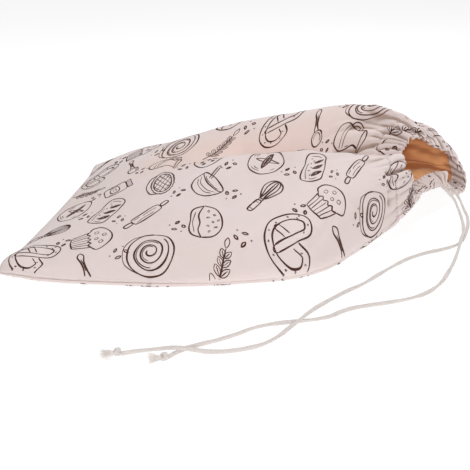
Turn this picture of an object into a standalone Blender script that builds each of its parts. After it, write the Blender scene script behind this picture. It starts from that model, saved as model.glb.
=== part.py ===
"""Drawstring bread bag of printed cotton with a tan lining, lying on its back, mouth half drawn.

+X runs from the bottom seam to the mouth, +Y across to the far side and +Z up, in metres.
The origin is on the flat underside, half way along the cut length and between the side seams.

The cloth is two outer panels and two lining panels, parted at the side seams. Every layer follows
one surface, the hollow of the bag, at its own depth outside it. A place on that surface is given
by its share of the way round, from the near side seam (0) over the top to the far side seam (0.5)
and back underneath (1), and by its length of cloth from the bottom seam.
"""
import math

import bmesh
import bpy
import numpy as np
from mathutils import Matrix, Vector

# Driving dimensions of the cut cloth
BAG_WIDTH = 0.300
BAG_LENGTH = 0.400
HEM_WIDTH = 0.022
OUTER_THICKNESS = 0.0012
LINING_THICKNESS = 0.0010
LAYER_GAP = 0.0003
LINING_ROOM = LAYER_GAP / 2 + LINING_THICKNESS + LAYER_GAP
WALL = LINING_ROOM + OUTER_THICKNESS
SEAM_OPENING = 0.0004

# The lining starts this far from the bottom seam and stops short of the hem
LINING_START = 0.010
HEM_LINE = BAG_LENGTH - HEM_WIDTH
HEM_STEP = 0.0006
LINING_END = HEM_LINE - HEM_STEP
SEAM_SHARE = 0.0006

# Ruffles of the drawn mouth
PLEATS = 26
PLEAT_DRIFT = 0.007
RUFFLE_START = 0.312
START_DRIFT = 0.012
RUFFLE_FULL = 0.370
RUFFLE_CLEARANCE = 0.0015

# Columns across one panel, and the lengths of cloth at which its rows lie
BODY_COLUMNS = 26
BODY_ROWS = (0.0, LINING_START, 0.025, 0.045, 0.070, 0.095, 0.120, 0.145, 0.170, 0.195,
             0.220, 0.243, 0.266, 0.286)
RUFFLE_ROWS = (0.302, 0.318, 0.332, 0.345, 0.358, 0.369)
HEM_ROWS = (HEM_LINE, HEM_LINE + HEM_STEP, 0.389, BAG_LENGTH)

# Fineness of the curves that the surface is read from, and the steps that give its slope
CURVE_STEPS = 40
BODY_STEPS = 360
SLOPE_SHARE = 0.004
SLOPE_LENGTH = 0.003

# Drawcord and its knotted ends
CORD_DIAMETER = 0.0026
CORD_HEIGHT = CORD_DIAMETER / 2 + 0.00005
CORD_STEP = 3 * CORD_DIAMETER
KNOT_SIZE = (0.0036, 0.0032, 0.0030)
KNOT_GROOVE = 0.0004
KNOT_TWIST = 2.6
KNOT_TURNS = 3
FRAY_STRANDS = 15
FRAY_LENGTH = 0.0110
FRAY_UNEVEN = 0.10
FRAY_FAN = math.radians(31.0)
FRAY_ROOT = 0.0010
FRAY_SINK = 0.0020
FRAY_RISE = 0.0036
FRAY_RADII = (0.00065, 0.00045)

# Cross-sections of the hollow. Columns: x at the near side seam, how far the far side runs ahead
# of the near side, height of the floor, and the (y, z) points from the near side seam over the
# top to the far side seam.
FLAT = OUTER_THICKNESS + SEAM_OPENING
SECTIONS = (
    (-0.200, 0.008, OUTER_THICKNESS,
     ((-0.1530, FLAT - SEAM_OPENING / 2), (-0.10, FLAT), (0.0, FLAT), (0.10, FLAT),
      (0.1500, FLAT - SEAM_OPENING / 2))),
    (-0.188, 0.006, WALL,
     ((-0.1580, 0.0037), (-0.10, 0.0046), (0.0, 0.0048), (0.10, 0.0062), (0.138, 0.0082),
      (0.1500, 0.0038))),
    (-0.170, 0.003, WALL,
     ((-0.1635, 0.0040), (-0.145, 0.0064), (-0.090, 0.0084), (0.0, 0.0104), (0.070, 0.0124),
      (0.125, 0.0162), (0.140, 0.0118), (0.1490, 0.0044))),
    (-0.150, 0.000, WALL,
     ((-0.1670, 0.0043), (-0.149, 0.0086), (-0.093, 0.0134), (-0.030, 0.0168), (0.030, 0.0200),
      (0.085, 0.0225), (0.128, 0.0225), (0.142, 0.0138), (0.1470, 0.0052))),
    (-0.080, 0.000, WALL,
     ((-0.1690, 0.0046), (-0.157, 0.0145), (-0.107, 0.0285), (-0.045, 0.0400), (0.000, 0.0450),
      (0.042, 0.0440), (0.086, 0.0515), (0.113, 0.0385), (0.1260, 0.0080))),
    (-0.016, 0.000, WALL,
     ((-0.1590, 0.0050), (-0.149, 0.0200), (-0.100, 0.0400), (-0.048, 0.0530), (-0.008, 0.0580),
      (0.030, 0.0450), (0.060, 0.0580), (0.090, 0.0690), (0.112, 0.0470), (0.1180, 0.0100))),
    (0.036, 0.000, WALL,
     ((-0.1390, 0.0050), (-0.130, 0.0240), (-0.084, 0.0480), (-0.038, 0.0590), (-0.004, 0.0610),
      (0.028, 0.0470), (0.060, 0.0650), (0.090, 0.0785), (0.115, 0.0570), (0.1200, 0.0120))),
    (0.070, 0.000, WALL,
     ((-0.0930, 0.0060), (-0.088, 0.0290), (-0.056, 0.0520), (-0.024, 0.0610), (-0.002, 0.0600),
      (0.028, 0.0460), (0.060, 0.0680), (0.090, 0.0835), (0.118, 0.0600), (0.1240, 0.0160))),
)
UNDER_RADIUS = 0.005
UPRIGHT_ROLL = 1.5
UNDER_PARTS = (0.0, 0.03, 0.25, 0.5, 0.75, 0.97, 1.0)

# The drawn mouth. Columns: place, share of the way round, hem line (x, y, z), rim (x, y, z) and
# the depth of the ruffles there.
MOUTH = (
    ("near seam", 0.000, (0.109, -0.037, 0.0180), (0.124, -0.008, 0.0290), 0.0016),
    ("near side", 0.050, (0.108, -0.029, 0.036), (0.125, -0.005, 0.0400), 0.0012),
    ("pinch", 0.095, (0.106, -0.023, 0.049), (0.121, -0.002, 0.049), 0.0012),
    ("ridge end", 0.130, (0.103, -0.014, 0.056), (0.117, 0.004, 0.0545), 0.0020),
    ("ridge in", 0.182, (0.099, 0.008, 0.051), (0.117, 0.018, 0.0505), 0.0032),
    ("valley in", 0.232, (0.098, 0.034, 0.049), (0.118, 0.034, 0.050), 0.0038),
    ("valley", 0.282, (0.101, 0.056, 0.055), (0.124, 0.047, 0.055), 0.0036),
    ("hump in", 0.322, (0.108, 0.074, 0.065), (0.130, 0.055, 0.060), 0.0030),
    ("hump", 0.354, (0.122, 0.080, 0.0725), (0.139, 0.064, 0.059), 0.0026),
    ("hump out", 0.390, (0.138, 0.081, 0.0660), (0.150, 0.075, 0.050), 0.0026),
    ("far top", 0.428, (0.156, 0.090, 0.0550), (0.166, 0.088, 0.0415), 0.0028),
    ("far middle", 0.465, (0.168, 0.101, 0.0405), (0.179, 0.097, 0.0300), 0.0028),
    ("far seam", 0.500, (0.175, 0.105, 0.0205), (0.188, 0.098, 0.0145), 0.0020),
    ("under far", 0.600, (0.168, 0.087, 0.012), (0.180, 0.073, 0.008), 0.0022),
    ("cord exit", 0.700, (0.157, 0.067, 0.028), (0.165, 0.053, 0.022), 0.0026),
    ("under middle", 0.800, (0.143, 0.045, 0.031), (0.153, 0.036, 0.0245), 0.0030),
    ("under near", 0.900, (0.125, 0.009, 0.0290), (0.139, 0.016, 0.0265), 0.0024),
)

# Routes of the two drawcord strands, from the casing to the knot: (x, y, height over the cord's
# lying height). Each passes over the other in a low hump.
LEFT_ROUTE = (
    (0.1702, 0.0599, 0.0130), (0.1742, 0.0550, 0.0105), (0.1768, 0.0495, 0.0068),
    (0.1787, 0.0420, 0.0030), (0.1797, 0.0330, 0.0006), (0.1800, 0.0180, 0.0000),
    (0.1780, -0.0020, 0.0000), (0.1745, -0.0200, 0.0000), (0.1685, -0.0420, 0.0000),
    (0.1600, -0.0600, 0.0000), (0.1490, -0.0700, 0.0000), (0.1300, -0.0830, 0.0000),
    (0.1170, -0.0950, 0.0000), (0.1060, -0.1090, 0.0000), (0.0910, -0.1310, 0.0000),
    (0.0770, -0.1520, 0.0000), (0.0650, -0.1660, 0.0000), (0.0560, -0.1790, 0.0005),
    (0.0480, -0.1930, 0.0017), (0.0410, -0.2065, 0.0029), (0.0350, -0.2185, 0.0032),
    (0.0270, -0.2320, 0.0021), (0.0180, -0.2460, 0.0006), (0.0090, -0.2560, 0.0000),
    (-0.0020, -0.2630, 0.0000), (-0.0140, -0.2675, 0.0000), (-0.0270, -0.2705, 0.0011),
    (-0.0370, -0.2715, 0.0029), (-0.0460, -0.2713, 0.0032), (-0.0560, -0.2705, 0.0014),
    (-0.0660, -0.2708, 0.0000), (-0.0785, -0.2760, 0.0000),
)
RIGHT_ROUTE = (
    (0.1609, 0.0495, 0.0172), (0.1650, 0.0474, 0.0142), (0.1684, 0.0464, 0.0106),
    (0.1718, 0.0440, 0.0066), (0.1738, 0.0370, 0.0025), (0.1745, 0.0280, 0.0005),
    (0.1742, 0.0140, 0.0000), (0.1730, -0.0040, 0.0003), (0.1710, -0.0210, 0.0017),
    (0.1680, -0.0390, 0.0030), (0.1635, -0.0570, 0.0032), (0.1590, -0.0750, 0.0017),
    (0.1540, -0.0930, 0.0002), (0.1450, -0.1210, 0.0000), (0.1340, -0.1480, 0.0000),
    (0.1210, -0.1660, 0.0000), (0.1060, -0.1770, 0.0000), (0.0940, -0.1830, 0.0000),
    (0.0810, -0.1885, 0.0000), (0.0700, -0.1940, 0.0000), (0.0610, -0.2010, 0.0000),
    (0.0530, -0.2095, 0.0000), (0.0430, -0.2150, 0.0000), (0.0350, -0.2180, 0.0000),
    (0.0220, -0.2220, 0.0000), (0.0100, -0.2270, 0.0000), (0.0010, -0.2330, 0.0000),
    (-0.0070, -0.2410, 0.0000), (-0.0200, -0.2520, 0.0000), (-0.0330, -0.2608, 0.0000),
    (-0.0395, -0.2660, 0.0000), (-0.0440, -0.2712, 0.0000), (-0.0490, -0.2786, 0.0000),
)

# Each strand's name, route, and how far its frayed tail turns from the cord's own heading
STRANDS = (
    ("left", LEFT_ROUTE, math.radians(4.0)),
    ("right", RIGHT_ROUTE, math.radians(-34.0)),
)

# Colours, linear
PRINTED_COTTON = (0.78, 0.70, 0.67)
TAN_COTTON = (0.50, 0.20, 0.09)
CORD_COTTON = (0.74, 0.69, 0.65)


def clear_scene():
    for item in list(bpy.data.objects):
        bpy.data.objects.remove(item, do_unlink=True)


def cloth_material(name, colour):
    """A matt cotton finish."""
    finish = bpy.data.materials.new(name)
    finish.use_nodes = True
    shader = finish.node_tree.nodes["Principled BSDF"]
    shader.inputs["Base Color"].default_value = (*colour, 1.0)
    shader.inputs["Roughness"].default_value = 0.9
    shader.inputs["Metallic"].default_value = 0.0
    return finish


def smooth_step(low, high, value):
    t = np.clip((value - low) / (high - low), 0.0, 1.0)
    return t * t * (3.0 - 2.0 * t)


def through_points(stations, points, wanted):
    """Values at the wanted stations of one smooth curve through points at increasing stations."""
    gaps = np.diff(stations)[:, None]
    slopes = np.diff(points, axis=0) / gaps
    tangents = np.zeros_like(points)
    tangents[1:-1] = (slopes[:-1] * gaps[1:] + slopes[1:] * gaps[:-1]) / (gaps[1:] + gaps[:-1])
    tangents[0] = slopes[0]
    tangents[-1] = slopes[-1]
    span = np.clip(np.searchsorted(stations, wanted, side="right") - 1, 0, len(stations) - 2)
    gap = gaps[span]
    t = (wanted - stations[span])[:, None] / gap
    return ((1 + 2 * t) * (1 - t) ** 2 * points[span] + t * (1 - t) ** 2 * gap * tangents[span]
            + t * t * (3 - 2 * t) * points[span + 1] + t * t * (t - 1) * gap * tangents[span + 1])


def run_lengths(points):
    """Distance along a row of points, from its first."""
    return np.concatenate([[0.0], np.cumsum(np.linalg.norm(np.diff(points, axis=0), axis=1))])


def closed_curve(points, steps):
    """Closely spaced points of a smooth closed curve, with the given steps between each two."""
    around = np.concatenate([points[-3:], points, points[:4]])
    stations = run_lengths(around)
    wanted = [np.linspace(stations[i], stations[i + 1], steps, endpoint=False)
              for i in range(3, 3 + len(points))]
    wanted.append([stations[3 + len(points)]])
    return through_points(stations, around, np.concatenate(wanted))


def seam_roll(seam, following, inward, floor):
    """Points under and over a side seam, which stand its edge upright where the wall is shallow."""
    half = seam[1] - floor
    reach = min(UNDER_RADIUS, UPRIGHT_ROLL * half)
    under = (seam[0] + inward * reach, floor)
    over = (seam[0] + inward * reach, floor + 2 * half)
    shallow = following[1] - over[1] < abs(following[0] - over[0])
    return under, [over] if shallow else []


def section_points(section, shares):
    """Points of one cross-section of the hollow at the given shares of the way round."""
    x, ahead, floor, top = section
    near, far = top[0], top[-1]
    near_under, near_over = seam_roll(near, top[1], 1, floor)
    far_under, far_over = seam_roll(far, top[-2], -1, floor)
    upper = [near] + near_over + list(top[1:-1]) + far_over + [far]
    under = [(far_under[0] + part * (near_under[0] - far_under[0]), floor)
             for part in UNDER_PARTS]
    loop = closed_curve(np.array(upper + under), CURVE_STEPS)
    loop[:, 1] = np.maximum(loop[:, 1], floor)
    run = run_lengths(loop)
    far_seam = CURVE_STEPS * (len(upper) - 1)
    over_share = 0.5 * run / run[far_seam]
    under_share = 0.5 + 0.5 * (run - run[far_seam]) / (run[-1] - run[far_seam])
    share = np.where(np.arange(len(run)) <= far_seam, over_share, under_share)
    y = np.interp(shares, share, loop[:, 0])
    z = np.interp(shares, share, loop[:, 1])
    across = np.clip((BAG_WIDTH / 2 - y) / BAG_WIDTH, 0.0, 1.0)
    return np.stack([x + ahead * (1.0 - across ** 3), y, z], axis=1)


def mouth_values(column, shares):
    """Values of one column of the mouth's table at the given shares, joined into a ring."""
    places = np.array([row[1] for row in MOUTH])
    values = np.array([row[column] for row in MOUTH], dtype=float).reshape(len(MOUTH), -1)
    stations = np.concatenate([places[-3:] - 1.0, places, places[:4] + 1.0])
    ring = np.concatenate([values[-3:], values, values[:4]])
    return through_points(stations, ring, shares)


def hollow(shares, lengths):
    """Grid of points on the hollow's surface, rows by length of cloth and columns by share."""
    shares = np.asarray(shares, dtype=float)
    turn = shares % 1.0
    rings = [section_points(section, turn) for section in SECTIONS]
    rings.append(mouth_values(2, turn))
    rings.append(mouth_values(3, turn))
    rings = np.array(rings)
    grid = np.zeros((len(lengths), len(shares), 3))
    for column in range(len(shares)):
        line = rings[:, column]
        stations = run_lengths(line)
        hem = BODY_STEPS
        close = np.concatenate([np.linspace(0.0, stations[-2], hem, endpoint=False),
                                np.linspace(stations[-2], stations[-1], CURVE_STEPS)])
        curve = through_points(stations, line, close)
        run = run_lengths(curve)
        body = HEM_LINE * run / run[hem]
        band = HEM_LINE + HEM_WIDTH * (run - run[hem]) / (run[-1] - run[hem])
        cloth = np.where(np.arange(len(run)) <= hem, body, band)
        for axis in range(3):
            grid[:, column, axis] = np.interp(lengths, cloth, curve[:, axis])
    return grid


def outward(shares, lengths):
    """Directions out of the bag at each point of the grid, without its ruffles."""
    around = hollow(shares + SLOPE_SHARE, lengths) - hollow(shares - SLOPE_SHARE, lengths)
    ahead = hollow(shares, np.minimum(lengths + SLOPE_LENGTH, BAG_LENGTH))
    behind = hollow(shares, np.maximum(lengths - SLOPE_LENGTH, 0.0))
    normal = np.cross(ahead - behind, around)
    return normal / np.linalg.norm(normal, axis=2, keepdims=True)


def ruffles(shares, lengths):
    """How far the drawn outer cloth stands out of its smooth surface, over the grid.

    The pleats aren't quite even, and they start at uneven lengths.
    """
    depth = mouth_values(4, shares % 1.0)[:, 0]
    drift = PLEAT_DRIFT * np.sin(2 * math.pi * 5 * shares + 1.0)
    wave = 0.5 - 0.5 * np.cos(2 * math.pi * PLEATS * (shares + drift))
    start = RUFFLE_START + START_DRIFT * np.sin(2 * math.pi * 7 * shares)
    fade = smooth_step(start[None, :], RUFFLE_FULL, lengths[:, None])
    clear = np.clip((lengths - BODY_ROWS[-2]) / (BODY_ROWS[-1] - BODY_ROWS[-2]), 0.0, 1.0)
    return RUFFLE_CLEARANCE * clear[:, None] + fade * (depth * wave)[None, :]


def skins(shares, lengths, inner, outer, ruffled):
    """Inner and outer points of one layer of cloth. inner and outer give its depth by length."""
    lengths = np.asarray(lengths, dtype=float)
    points = hollow(shares, lengths)
    normal = outward(shares, lengths)
    raised = ruffles(shares, lengths)
    floor = outer_outside(lengths)[:, None] + raised
    points[:, :, 2] = np.maximum(points[:, :, 2], floor)
    if not ruffled:
        raised = np.zeros_like(raised)
    inside = points + normal * (inner(lengths)[:, None] + raised)[:, :, None]
    outside = points + normal * (outer(lengths)[:, None] + raised)[:, :, None]
    return inside, outside


def lining_room(lengths):
    """Room left for the lining inside the outer cloth, from none at the bottom seam."""
    return LINING_ROOM * np.clip(lengths / LINING_START, 0.0, 1.0)


def outer_inside(lengths):
    """Depth of the outer cloth's inside face. The hem is turned in and takes the lining's room."""
    turned = lengths > HEM_LINE + HEM_STEP / 2
    return np.where(turned, LAYER_GAP / 2, lining_room(lengths))


def outer_outside(lengths):
    return lining_room(lengths) + OUTER_THICKNESS


def lining_inside(lengths):
    return np.full_like(lengths, LAYER_GAP / 2)


def lining_outside(lengths):
    return np.full_like(lengths, LAYER_GAP / 2 + LINING_THICKNESS)


def add_face(mesh, points, facing_out):
    mesh.faces.new(points if facing_out else points[::-1])


def join_rows(mesh, first, second, facing_out):
    """Triangles between two rows of points. The second has as many spans as the first, or twice.

    Every layer is split along the same diagonals, so that its neighbour's facets lie beside it.
    """
    double = len(second) > len(first)
    for i in range(len(first) - 1):
        a, b = first[i], first[i + 1]
        if double:
            c, middle, d = second[2 * i], second[2 * i + 1], second[2 * i + 2]
            add_face(mesh, (a, c, middle), facing_out)
            add_face(mesh, (a, middle, b), facing_out)
            add_face(mesh, (b, middle, d), facing_out)
        else:
            add_face(mesh, (a, second[i], second[i + 1]), facing_out)
            add_face(mesh, (a, second[i + 1], b), facing_out)


def cloth_object(name, rows, finish, collection):
    """A closed sheet from rows of (inside points, outside points)."""
    mesh = bmesh.new()
    built = []
    for inside, outside in rows:
        built.append(([mesh.verts.new(p) for p in inside], [mesh.verts.new(p) for p in outside]))
    for (inner_a, outer_a), (inner_b, outer_b) in zip(built, built[1:]):
        join_rows(mesh, inner_a, inner_b, False)
        join_rows(mesh, outer_a, outer_b, True)
        for side in (0, -1):
            edge = (inner_a[side], inner_b[side], outer_b[side], outer_a[side])
            add_face(mesh, edge, side == 0)
    join_rows(mesh, *built[0], True)
    join_rows(mesh, *built[-1], False)
    return add_mesh(name, mesh, finish, collection)


def add_mesh(name, mesh, finish, collection):
    data = bpy.data.meshes.new(name)
    mesh.to_mesh(data)
    mesh.free()
    data.materials.append(finish)
    piece = bpy.data.objects.new(name, data)
    collection.objects.link(piece)
    return piece


def panel_shares(first, last, spans):
    """Even columns across a panel, with its first and last drawn in from the side seams."""
    shares = np.linspace(first, last, spans + 1)
    shares[0] += SEAM_SHARE
    shares[-1] -= SEAM_SHARE
    return shares


def outer_panel(name, first, last, finish, collection):
    """One printed panel from side seam to side seam, with finer columns in the ruffles."""
    rows = []
    for lengths, spans in ((BODY_ROWS, BODY_COLUMNS), (RUFFLE_ROWS + HEM_ROWS, 2 * BODY_COLUMNS)):
        shares = panel_shares(first, last, spans)
        rows.extend(zip(*skins(shares, lengths, outer_inside, outer_outside, True)))
    return cloth_object(name, rows, finish, collection)


def lining_panel(name, first, last, finish, collection):
    """One lining panel, smooth inside the ruffles."""
    shares = panel_shares(first, last, BODY_COLUMNS)
    lengths = BODY_ROWS[1:] + RUFFLE_ROWS + (LINING_END,)
    rows = list(zip(*skins(shares, lengths, lining_inside, lining_outside, False)))
    return cloth_object(name, rows, finish, collection)


def cord_path(route):
    """Evenly spaced points along the smooth curve through a route."""
    points = np.array([(x, y, z + CORD_HEIGHT) for x, y, z in route])
    stations = run_lengths(points)
    close = np.linspace(0.0, stations[-1], CURVE_STEPS * len(route))
    curve = through_points(stations, points, close)
    curve[:, 2] = np.maximum(curve[:, 2], CORD_HEIGHT)
    run = run_lengths(curve)
    even = np.linspace(0.0, run[-1], round(run[-1] / CORD_STEP) + 1)
    return np.stack([np.interp(even, run, curve[:, axis]) for axis in range(3)], axis=1)


def cord_strand(name, path, finish, collection):
    data = bpy.data.curves.new(name, "CURVE")
    data.dimensions = "3D"
    data.bevel_depth = CORD_DIAMETER / 2
    data.bevel_resolution = 2
    data.use_fill_caps = True
    line = data.splines.new("POLY")
    line.points.add(len(path) - 1)
    for point, place in zip(line.points, path):
        point.co = (*place, 1.0)
    data.materials.append(finish)
    strand = bpy.data.objects.new(name, data)
    collection.objects.link(strand)
    return strand


def fray_strand(index, root, heading, mesh_name):
    """One four-sided lock of the frayed end, tapering and spread to its place in the fan."""
    part = index / (FRAY_STRANDS - 1)
    angle = FRAY_FAN * (2 * part - 1)
    level = 0.5 + 0.5 * math.cos(2.4 * index)
    length = FRAY_LENGTH * (1.0 - FRAY_UNEVEN + FRAY_UNEVEN * math.cos(1.7 * index + 0.5))
    side = Vector((-heading.y, heading.x, 0.0))
    aim = heading * math.cos(angle) + side * math.sin(angle)
    start = root + side * (FRAY_ROOT * (2 * part - 1)) - aim * FRAY_SINK
    end = start + aim * length
    start.z = 2 * FRAY_RADII[0] + FRAY_ROOT * level
    end.z = FRAY_RADII[0] + FRAY_RISE * level
    mesh = bmesh.new()
    bmesh.ops.create_cone(mesh, cap_ends=True, segments=4, radius1=FRAY_RADII[0],
                          radius2=FRAY_RADII[1], depth=(end - start).length)
    turn = (end - start).to_track_quat("Z", "Y").to_matrix().to_4x4()
    turn.translation = (start + end) / 2
    bmesh.ops.transform(mesh, matrix=turn, verts=mesh.verts)
    data = bpy.data.meshes.new(mesh_name)
    mesh.to_mesh(data)
    mesh.free()
    return bpy.data.objects.new(mesh_name, data)


def knot(name, path, fray_turn, finish, collection, cutters):
    """An overhand knot at a strand's end with its frayed tail, one solid."""
    end = Vector(path[-1])
    heading = end - Vector(path[-3])
    heading.z = 0.0
    heading.normalize()
    centre = end + heading * (KNOT_SIZE[0] + LAYER_GAP)
    centre.z = KNOT_SIZE[2] - KNOT_GROOVE
    side = Vector((-heading.y, heading.x, 0.0))
    mesh = bmesh.new()
    bmesh.ops.create_icosphere(mesh, subdivisions=3, radius=1.0)
    for vert in mesh.verts:
        x, y, z = vert.co
        twist = math.atan2(z, y) + KNOT_TWIST * x
        girth = math.sqrt(max(0.0, 1.0 - x * x))
        swell = 1.0 + KNOT_GROOVE / KNOT_SIZE[2] * math.cos(KNOT_TURNS * twist) * girth
        place = centre + heading * (x * KNOT_SIZE[0])
        place += side * (y * KNOT_SIZE[1] * swell)
        place.z += z * KNOT_SIZE[2] * swell
        place.z = max(place.z, 0.0)
        vert.co = place
    knotted = add_mesh(name, mesh, finish, collection)
    fray_heading = Matrix.Rotation(fray_turn, 3, "Z") @ heading
    root = centre + fray_heading * (KNOT_SIZE[0] * 0.8)
    for index in range(FRAY_STRANDS):
        lock = fray_strand(index, root, fray_heading, f"{name}_lock_{index:02d}")
        cutters.objects.link(lock)
        lock.hide_render = True
        lock.display_type = "WIRE"
        join = knotted.modifiers.new(lock.name, "BOOLEAN")
        join.operation = "UNION"
        join.object = lock
    return knotted


def build():
    clear_scene()
    bag = bpy.data.collections.new("bread_bag")
    cutters = bpy.data.collections.new("bread_bag_cutters")
    for collection in (bag, cutters):
        bpy.context.scene.collection.children.link(collection)
    printed = cloth_material("printed_cotton", PRINTED_COTTON)
    tan = cloth_material("tan_lining", TAN_COTTON)
    natural = cloth_material("cotton_cord", CORD_COTTON)

    outer_panel("outer_front", 0.0, 0.5, printed, bag)
    outer_panel("outer_back", 0.5, 1.0, printed, bag)
    lining_panel("lining_front", 0.0, 0.5, tan, bag)
    lining_panel("lining_back", 0.5, 1.0, tan, bag)
    for side, route, fray_turn in STRANDS:
        path = cord_path(route)
        cord_strand(f"cord_{side}", path, natural, bag)
        knot(f"knot_{side}", path, fray_turn, natural, bag, cutters)


build()
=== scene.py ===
"""Looks of the drawstring bread bag: printed cloth, tan lining, twisted drawcord and its knots.

Metres, in the part's frame: +X from the bottom seam to the mouth, +Y to the far side, +Z up.
A place on the cloth is given by its share of the way round, from the near side seam (0) over the
top to the far side seam (0.5) and back underneath (1), and by its length from the bottom seam.
"""
import math

import bpy
import numpy as np
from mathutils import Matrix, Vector

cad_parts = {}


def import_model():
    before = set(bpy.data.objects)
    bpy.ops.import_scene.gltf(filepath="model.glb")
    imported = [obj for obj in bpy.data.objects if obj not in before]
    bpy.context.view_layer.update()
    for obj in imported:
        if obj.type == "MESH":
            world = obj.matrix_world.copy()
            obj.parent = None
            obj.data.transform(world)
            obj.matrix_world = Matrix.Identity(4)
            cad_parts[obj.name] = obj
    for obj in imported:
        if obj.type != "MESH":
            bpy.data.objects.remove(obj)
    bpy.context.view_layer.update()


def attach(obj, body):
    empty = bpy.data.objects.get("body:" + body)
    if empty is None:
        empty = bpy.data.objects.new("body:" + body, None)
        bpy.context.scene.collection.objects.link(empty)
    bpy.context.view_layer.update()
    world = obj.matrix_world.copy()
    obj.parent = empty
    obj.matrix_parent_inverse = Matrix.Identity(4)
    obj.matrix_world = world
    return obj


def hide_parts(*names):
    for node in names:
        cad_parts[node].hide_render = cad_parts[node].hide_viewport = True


# Cut cloth
BAG_WIDTH = 0.3
BAG_LENGTH = 0.4
HEM_WIDTH = 0.022
HEM_LINE = BAG_LENGTH - HEM_WIDTH
HEM_STEP = 0.0006
LINING_START = 0.01
LINING_END = HEM_LINE - HEM_STEP
AROUND = 2 * BAG_WIDTH
OUTER_THICKNESS = 0.0012
LINING_THICKNESS = 0.001
LAYER_GAP = 0.0003
LINING_ROOM = LAYER_GAP / 2 + LINING_THICKNESS + LAYER_GAP
WALL = LINING_ROOM + OUTER_THICKNESS
SEAM_OPENING = 0.0004
CLOTH = 0.0008

# Cross-sections of the hollow. Columns: x at the near side seam, how far the far side runs ahead
# of the near side, height of the floor, and the (y, z) points from the near side seam over the
# top to the far side seam.
FLAT = OUTER_THICKNESS + SEAM_OPENING
SECTIONS = (
    (-0.2, 0.008, OUTER_THICKNESS,
     ((-0.153, FLAT - SEAM_OPENING / 2), (-0.1, FLAT), (0.0, FLAT), (0.1, FLAT),
      (0.15, FLAT - SEAM_OPENING / 2))),
    (-0.188, 0.006, WALL,
     ((-0.158, 0.0037), (-0.1, 0.0046), (0.0, 0.0048), (0.1, 0.0062), (0.138, 0.0082),
      (0.15, 0.0038))),
    (-0.17, 0.003, WALL,
     ((-0.1635, 0.004), (-0.145, 0.0064), (-0.09, 0.0084), (0.0, 0.0104), (0.07, 0.0124),
      (0.125, 0.0162), (0.14, 0.0118), (0.149, 0.0044))),
    (-0.15, 0.0, WALL,
     ((-0.167, 0.0043), (-0.149, 0.0086), (-0.093, 0.0134), (-0.03, 0.0168), (0.03, 0.02),
      (0.085, 0.0225), (0.128, 0.0225), (0.142, 0.0138), (0.147, 0.0052))),
    (-0.08, 0.0, WALL,
     ((-0.169, 0.0046), (-0.157, 0.0145), (-0.107, 0.0285), (-0.045, 0.04), (0.0, 0.045),
      (0.042, 0.044), (0.086, 0.0515), (0.113, 0.0385), (0.126, 0.008))),
    (-0.016, 0.0, WALL,
     ((-0.159, 0.005), (-0.149, 0.02), (-0.1, 0.04), (-0.048, 0.053), (-0.008, 0.058),
      (0.03, 0.045), (0.06, 0.058), (0.09, 0.069), (0.112, 0.047), (0.118, 0.01))),
    (0.036, 0.0, WALL,
     ((-0.139, 0.005), (-0.13, 0.024), (-0.084, 0.048), (-0.038, 0.059), (-0.004, 0.061),
      (0.028, 0.047), (0.06, 0.065), (0.09, 0.0785), (0.115, 0.057), (0.12, 0.012))),
    (0.07, 0.0, WALL,
     ((-0.093, 0.006), (-0.088, 0.029), (-0.056, 0.052), (-0.024, 0.061), (-0.002, 0.06),
      (0.028, 0.046), (0.06, 0.068), (0.09, 0.0835), (0.118, 0.06), (0.124, 0.016))),
)
UNDER_RADIUS = 0.005
UPRIGHT_ROLL = 1.5
UNDER_PARTS = (0.0, 0.03, 0.25, 0.5, 0.75, 0.97, 1.0)
CURVE_STEPS = 40
BODY_STEPS = 360
SLOPE_SHARE = 0.004
SLOPE_LENGTH = 0.003

# The drawn mouth. Columns: place, share of the way round, hem line (x, y, z), rim (x, y, z) and
# the depth of the ruffles there.
MOUTH = (
    ("near seam", 0.0, (0.109, -0.037, 0.018), (0.124, -0.008, 0.029), 0.0016),
    ("near side", 0.05, (0.108, -0.029, 0.036), (0.125, -0.005, 0.04), 0.0012),
    ("pinch", 0.095, (0.106, -0.023, 0.049), (0.121, -0.002, 0.049), 0.0012),
    ("ridge end", 0.13, (0.103, -0.014, 0.056), (0.117, 0.004, 0.0545), 0.002),
    ("ridge in", 0.182, (0.099, 0.008, 0.051), (0.117, 0.018, 0.0505), 0.0032),
    ("valley in", 0.232, (0.098, 0.034, 0.049), (0.118, 0.034, 0.05), 0.0038),
    ("valley", 0.282, (0.101, 0.056, 0.055), (0.124, 0.047, 0.055), 0.0036),
    ("hump in", 0.322, (0.108, 0.074, 0.065), (0.13, 0.055, 0.06), 0.003),
    ("hump", 0.354, (0.122, 0.08, 0.0725), (0.139, 0.064, 0.059), 0.0026),
    ("hump out", 0.39, (0.138, 0.081, 0.066), (0.15, 0.075, 0.05), 0.0026),
    ("far top", 0.428, (0.156, 0.09, 0.055), (0.166, 0.088, 0.0415), 0.0028),
    ("far middle", 0.465, (0.168, 0.101, 0.0405), (0.179, 0.097, 0.03), 0.0028),
    ("far seam", 0.5, (0.175, 0.105, 0.0205), (0.188, 0.098, 0.0145), 0.002),
    ("under far", 0.6, (0.168, 0.087, 0.012), (0.18, 0.073, 0.008), 0.0022),
    ("cord exit", 0.7, (0.157, 0.067, 0.028), (0.165, 0.053, 0.022), 0.0026),
    ("under middle", 0.8, (0.143, 0.045, 0.031), (0.153, 0.036, 0.0245), 0.003),
    ("under near", 0.9, (0.125, 0.009, 0.029), (0.139, 0.016, 0.0265), 0.0024),
)

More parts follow.
